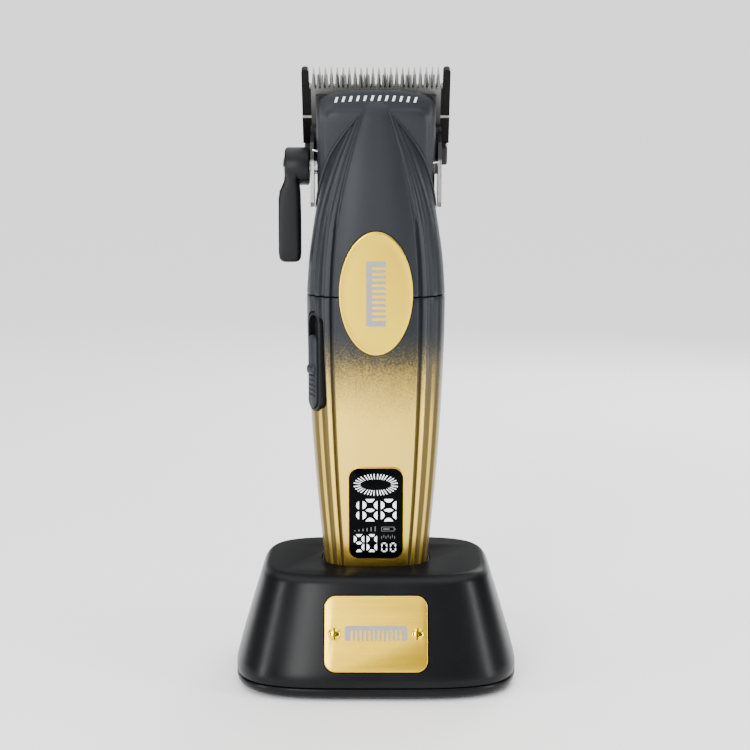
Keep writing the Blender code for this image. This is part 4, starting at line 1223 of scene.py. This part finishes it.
def toothed(outline_low, half_width, pitch, count, tip, root, tooth_share, tip_share, thickness, rounded=6):
    """A plate whose top edge is a row of tapering teeth with round-bottomed gaps; tips at Z = tip."""
    points = []
    first = -pitch * (count - 1) / 2
    for i in range(count):
        x = first + i * pitch
        foot, point = pitch * tooth_share / 2, pitch * tip_share / 2
        gap = pitch / 2 - foot
        if i == 0:
            points.append((-half_width, root))
            points.append((x - foot, root))
        points.append((x - foot * 0.92, root + (tip - root) * 0.3))
        points += [(x - point, tip - point * 0.8), (x - point * 0.55, tip - point * 0.2), (x, tip),
                   (x + point * 0.55, tip - point * 0.2), (x + point, tip - point * 0.8)]
        points.append((x + foot * 0.92, root + (tip - root) * 0.3))
        if i < count - 1:
            for k in range(rounded + 1):
                angle = math.pi * k / rounded
                points.append((x + foot + gap * (1 - math.cos(angle)), root - gap * math.sin(angle)))
        else:
            points.append((x + foot, root))
            points.append((half_width, root))
    return slab(list(reversed(outline_low + points)), thickness)


class CLIPPER_OT_blades(Operator):
    """Fixed blade with its screw holes, moving blade and the chassis hooks"""

    bl_idname = "clipper.blades"
    bl_label = "Blade set"

    def execute(self, context):
        blades = settings().blades
        half = node_box("fixed_blade")[1].x
        coated = blade_coating()
        bright = ground_steel()

        reach = 40.2
        pitch = reach / blades.fixed_teeth
        plate = toothed([(half, -26.8), (-half, -26.8)], half, pitch, blades.fixed_teeth,
                        0.0, -6.2, 0.66, 0.2, 2.2)
        plate = moved(plate, (0, 1.1, 0))
        bars = []
        for side in (-1, 1):
            bar = slab(rounded_rectangle(2.3, 14.0, 1.0, 8), 2.2)
            bars.append(moved(bar, (side * (half - 1.15), 1.1, -7.72)))
        plate = carved(plate, *bars, operation="UNION")
        wedge = moved(block((-20.6, 0, -60), (20.6, 30, 30)), (0, 0.45, 0.1), (9.5, 0, 0))
        line = block((-half - 1, 1.9, -18.0), (half + 1, 4.0, -16.4), 0.1, 2)
        notches = [block((side * half - 1.9, -1, -17.6), (side * half + 1.9, 0.25, -16.9)) for side in (-1, 1)]
        holes = []
        for x in (-16.2, 16.2):
            holes.append(moved(rod(2.0, 6, -6, 40), (x, 0, -23.5), (90, 0, 0)))
        plate = carved(plate, wedge, line, *notches, *holes)
        piece("toothed_fixed_blade", on_blade(plate), coated, "clipper", ["fixed_blade"], 25)

        half = 20.1
        pitch = reach / blades.moving_teeth
        plate = toothed([(half, -17.2), (-half, -17.2)], half, pitch, blades.moving_teeth,
                        0.0, -3.9, 0.54, 0.26, 1.4)
        edge = moved(block((-40, -30, -60), (40, 0, 30)), (0, -0.62, 0.1), (-14, 0, 0))
        plate = carved(plate, edge)
        plate = moved(plate, (0, -0.85, -2.25))
        piece("toothed_moving_blade", on_blade(plate), bright, "cutter", ["moving_blade"], 25)

        hooks = [moved(block((-1.5, -0.8, -0.28), (1.5, 0.8, 0.28), 0.2), (-18.3, -4.2, 165.9), (0, 14, 0)),
                 moved(block((-1.1, -0.8, -0.28), (1.1, 0.8, 0.28), 0.2), (18.6, -4.2, 162.4), (0, -8, 0))]
        hook_steel = brushed_metal("hook_steel", (0.66, 0.66, 0.65), 0.2, (0.2, 1.0, 1.0), 0.006, 300.0)
        piece("chassis_hooks", joined(hooks), hook_steel, "clipper")
        return {"FINISHED"}


def ground_steel():
    """Ground steel with painted shade: dark towards the heel and brighter along the teeth."""
    steel = settings().blades.steel
    finish = Finish("moving_blade_steel")
    z = finish.axes()[2]
    lines = finish.noise(500.0, 3.0, 0.6, finish.stretched(1.0, 1.0, 0.05))
    # painted shade: the steel darkens from the teeth down to the heel
    teeth = (z + (lines - 0.5) * 2.0).step(176.0, 187.0)
    tone = finish.blend(teeth, shade(steel, 0.10), shade(steel, 0.42))
    return finish.surface(Base_Color=tone, Metallic=0.15, Roughness=0.5 + lines * 0.08,
                          Normal=finish.bump(lines, 0.3, 0.006))


def blade_coating():
    """Black coating outside and at the two side bars; ground steel on the cutting face and along the teeth."""
    blades = settings().blades
    finish = Finish("fixed_blade_coating")
    x, y, z = finish.axes()
    tilt = math.radians(BLADE_TILT)
    out = (y - BLADE_TIP[0]) * math.cos(tilt) + (z - BLADE_TIP[1]) * math.sin(tilt)
    grain = finish.noise(900.0, 3.0)
    teeth = (z + (grain - 0.5) * 0.6).step(184.6, 186.2)
    between_bars = 1.0 - x.size().step(20.55, 20.65)
    bare = teeth * between_bars * (1.0 - out.step(1.3, 1.7))
    along = (z - BLADE_TIP[1]) * math.cos(tilt) - (y - BLADE_TIP[0]) * math.sin(tilt)
    bare = bare.at_least(1.0 - (along + 17.25).size().step(0.35, 0.5))
    tone = finish.blend(grain.step(0.3, 0.7), tuple(blades.coating), shade(blades.coating, 1.6))
    colour_ = finish.blend(bare, tone, shade(blades.steel, 1.15))
    finish.mirroring(0.1)
    return finish.surface(Base_Color=colour_, Metallic=bare * 0.35, Roughness=0.38 + grain * 0.08,
                          Normal=finish.bump(grain, 0.15, 0.01))


def chassis_steel():
    """Bright zinc plate below, and painted shade making it near black where it passes behind the blade mount.
    """
    finish = Finish("chassis_zinc")
    z = finish.axes()[2]
    lines = finish.noise(260.0, 3.0, 0.6, finish.stretched(1.0, 1.0, 0.15))
    # painted shade: near black and barely metallic above this height, behind the blade mount
    dark = z.step(162.0, 163.5)
    tone = finish.blend(lines.step(0.3, 0.7), (0.44, 0.44, 0.43), (0.54, 0.54, 0.53))
    colour_ = finish.blend(dark, tone, (0.02, 0.02, 0.021))
    return finish.surface(Base_Color=colour_, Metallic=1.0 - dark * 0.8, Roughness=0.26 + lines * 0.08,
                          Normal=finish.bump(lines, 0.2, 0.01))


# ---------------------------------------------------------------- lever


class CLIPPER_OT_lever(Operator):
    """Taper lever with its round hub and the polished dome over its pivot"""

    bl_idname = "clipper.lever"
    bl_label = "Taper lever"

    def execute(self, context):
        foot = LEVER_LOW.z
        sections = [(foot, -28.9, -24.8, -3.9, -1.3, 1.2), (foot + 0.35, -29.6, -24.0, -4.6, -0.6, 1.4),
                    (foot + 1.2, -30.2, -23.5, -5.1, 0.0, 1.5), (134.5, -30.4, -23.3, -5.3, 0.3, 1.6),
                    (144, -30.4, -23.3, -5.45, 0.7, 1.7), (151, -30.35, -23.4, -5.55, 0.95, 1.7),
                    (153.5, -30.0, -23.5, -5.6, 1.1, 1.7), (155.2, -29.2, -23.7, -5.6, 1.2, 1.6),
                    (156.6, -28.6, -24.0, -5.6, 1.2, 1.5), (161.0, -28.1, -24.4, -5.6, 1.2, 1.4)]
        rows = []
        for z, x0, x1, y0, y1, radius in sections:
            ring = rounded_rectangle(x1 - x0, y1 - y0, radius, 8)
            rows.append([((x0 + x1) / 2 + across, (y0 + y1) / 2 + along, z) for across, along in ring])
        paddle = rows_mesh(rows)
        hub = turned([(0, -7.7), (5.3, -7.7), (5.75, -7.5), (5.9, -7.0), (5.9, -0.9), (5.65, -0.35), (5.1, 0.0),
                      (0, 0)], 72)
        axis = (-28.4, 0.0, LEVER_AXIS_Z)
        hub = moved(hub, axis, (0, -90, 0))
        recess = moved(rod(4.35, 3, -0.5, 64), axis, (0, -90, 0))
        bore = moved(rod(LEVER_SHAFT_BORE, 8, -2, 48), (-19.2, 0, LEVER_AXIS_Z), (0, -90, 0))
        lever = carved(carved(hub, paddle, operation="UNION"), recess, bore)
        black = plastic("lever_black_plastic", (0.0030, 0.0034, 0.0042), 0.42, 900.0, 0.008)
        piece("taper_paddle", lever, black, "taper_lever", ["lever_arm"], 40)
        dome = [(0, 1.45), (0.9, 1.42), (1.9, 1.28), (2.8, 1.02), (3.5, 0.68),
                (3.95, 0.3), (4.15, 0.0), (4.1, -0.05),
                (0, -0.05)]
        dome = moved(turned(dome, 72), (-27.9, 0, LEVER_AXIS_Z), (0, -90, 0))
        chrome = brushed_metal("cap_chrome", (0.86, 0.86, 0.87), 0.12, (1.0, 1.0, 1.0), 0.002, 300.0)
        piece("polished_cap", dome, chrome, "taper_lever", ["lever_cap"], 50)
        return {"FINISHED"}


# ---------------------------------------------------------------- works inside


class CLIPPER_OT_works(Operator):
    """Finishes for the motor, cell, boards, springs and every other part that keeps its own shape"""

    bl_idname = "clipper.works"
    bl_label = "Inner works"

    def execute(self, context):
        steel = brushed_metal("works_steel", (0.50, 0.50, 0.50), 0.3, (1.0, 1.0, 0.1), 0.01, 400.0)
        black_screw = brushed_metal("screw_black_oxide", (0.06, 0.06, 0.062), 0.32,
                                    (1.0, 1.0, 1.0), 0.01, 500.0)
        brass = brushed_metal("contact_brass", (0.80, 0.60, 0.28), 0.25, (1.0, 1.0, 1.0), 0.006, 300.0)
        spring = brushed_metal("leaf_spring_steel", (0.42, 0.43, 0.45), 0.22, (0.1, 1.0, 1.0), 0.006, 500.0)
        copper = plastic("winding_copper", (0.55, 0.22, 0.08), 0.3, 1400.0, 0.05)
        white = plastic("works_white_plastic", (0.62, 0.62, 0.60), 0.45)
        black = plastic("works_black_plastic", (0.020, 0.020, 0.021), 0.48)
        iron = plastic("ballast_iron", (0.10, 0.10, 0.105), 0.55, 300.0, 0.08)
        board = circuit_board()
        finish_nodes(steel, "motor_can", "motor_bracket", "eccentric", "lever_shaft", "taper_carriage",
                     "drive_bearing")
        finish_nodes(chassis_steel(), "head_chassis")
        finish_nodes(black_screw, "blade_screw_left", "blade_screw_right",
                     "cover_screw_left", "cover_screw_right",
                     "base_screw_left", "base_screw_right")
        finish_nodes(brass, "charge_post_left", "charge_post_right", "charge_pad_left", "charge_pad_right")
        finish_nodes(spring, "tension_spring")
        finish_nodes(white, "motor_cap", "drive_yoke", "battery_holder")
        finish_nodes(black, "blade_mount", "bottom_cap", "switch_unit")
        finish_nodes(iron, "ballast")
        finish_nodes(board, "main_board", "display_board", "stand_board")
        finish_nodes(ferrite(), "magnet_left", "magnet_right")
        finish_nodes(shrink_wrap(), "battery_cell")
        finish_nodes(copper, "motor_rotor")
        return {"FINISHED"}


# ---------------------------------------------------------------- stage


def lamp(name, location, aim, size, power, tall=None):
    data = bpy.data.lights.new(name, "AREA")
    data.shape = "RECTANGLE"
    data.size, data.size_y = size * MM, (tall or size) * MM
    data.energy = power
    light = bpy.data.objects.new(name, data)
    light.location = Vector(location) * MM
    light.rotation_euler = (Vector(aim) - Vector(location)).to_track_quat("-Z", "Y").to_euler()
    bpy.context.scene.collection.objects.link(light)
    return light


class CLIPPER_OT_stage(Operator):
    """Camera, pale floor, soft daylight backdrop and studio lights"""

    bl_idname = "clipper.stage"
    bl_label = "Stage"

    def execute(self, context):
        scene = bpy.context.scene
        stage = settings().stage
        camera_data = bpy.data.cameras.new("camera")
        camera_data.lens = stage.lens
        camera_data.sensor_width = 36.0
        camera_data.clip_start = 0.01
        camera = bpy.data.objects.new("camera", camera_data)
        camera.location = (-0.3 * MM, -stage.distance, stage.height)
        camera.rotation_euler = (math.pi / 2 - stage.pitch, 0, 0)
        scene.collection.objects.link(camera)
        scene.camera = camera

        backdrop = Finish("stage_pale")
        mottling = backdrop.noise(6.0, 2.0)
        pale = backdrop.blend(mottling, shade(stage.floor, 0.985), tuple(stage.floor))
        backdrop.surface(Base_Color=pale, Roughness=0.65 + mottling * 0.1)
        half = 4000.0
        floor = mesh_of(self.sheet(half))
        floor.transform(Matrix.Scale(MM, 4))
        floor.materials.append(backdrop.material)
        ground = bpy.data.objects.new("floor", floor)
        scene.collection.objects.link(ground)

        studio = Finish("studio", bpy.data.worlds, "Background")
        _, along, up = studio.split(studio.node("ShaderNodeTexCoord", output=0))
        behind, ceiling = along.step(0.55, 0.97), up.step(0.5, 0.9)
        scene.world = studio.surface(Color=(1.0, 1.0, 1.0), Strength=0.09 + ceiling * 3.1 + behind * 1.5)

        lamp("key_softbox", (-260, -700, 330), (0, 0, 80), 200, 5.0, 420)
        lamp("left_strip", (-520, -240, 150), (0, 0, 90), 40, 2.2, 420)
        lamp("right_strip", (520, -240, 150), (0, 0, 90), 50, 2.4, 420)
        lamp("rear_softbox", (260, 640, 420), (0, 0, 90), 260, 3.0, 260)
        return {"FINISHED"}

    def sheet(self, half):
        bm = bmesh.new()
        corners = [bm.verts.new(point) for point in ((-half, -half, 0), (half, -half, 0), (half, half, 0),
                                                     (-half, half, 0))]
        bm.faces.new(corners)
        return bm


class CLIPPER_PT_sidebar(Panel):
    """Buttons that build the clipper's looks one piece at a time, and their settings"""

    bl_idname = "CLIPPER_PT_sidebar"
    bl_label = "Hair clipper"
    bl_space_type = "VIEW_3D"
    bl_region_type = "UI"
    bl_category = "Clipper"

    def draw(self, context):
        column = self.layout.column(align=True)
        for operator in OPERATORS:
            column.operator(operator.bl_idname)
        for name, group in (("Housing", settings().housing), ("Trim", settings().trim),
                            ("Blades", settings().blades), ("Stand", settings().stand),
                            ("Stage", settings().stage)):
            box = self.layout.box()
            box.label(text=name)
            for key in group.__annotations__:
                box.prop(group, key)


OPERATORS = (CLIPPER_OT_stage, CLIPPER_OT_sleeve, CLIPPER_OT_covers, CLIPPER_OT_badge, CLIPPER_OT_display,
             CLIPPER_OT_switch, CLIPPER_OT_blades, CLIPPER_OT_lever, CLIPPER_OT_stand, CLIPPER_OT_plate,
             CLIPPER_OT_works)
CLASSES = (HousingSettings, TrimSettings, BladeSettings, StandSettings, StageSettings,
           ClipperSettings, *OPERATORS,
           CLIPPER_PT_sidebar)


def register():
    for cls in CLASSES:
        bpy.utils.register_class(cls)
    bpy.types.Scene.clipper_looks = PointerProperty(type=ClipperSettings)


def unregister():
    del bpy.types.Scene.clipper_looks
    for cls in reversed(CLASSES):
        bpy.utils.unregister_class(cls)


def main():
    register()
    bpy.ops.clipper.stage()
    bpy.ops.clipper.sleeve()
    bpy.ops.clipper.covers()
    bpy.ops.clipper.badge()
    bpy.ops.clipper.display()
    bpy.ops.clipper.switch()
    bpy.ops.clipper.blades()
    bpy.ops.clipper.lever()
    bpy.ops.clipper.stand()
    bpy.ops.clipper.plate()
    bpy.ops.clipper.works()


if __name__ == "__main__":
    main()
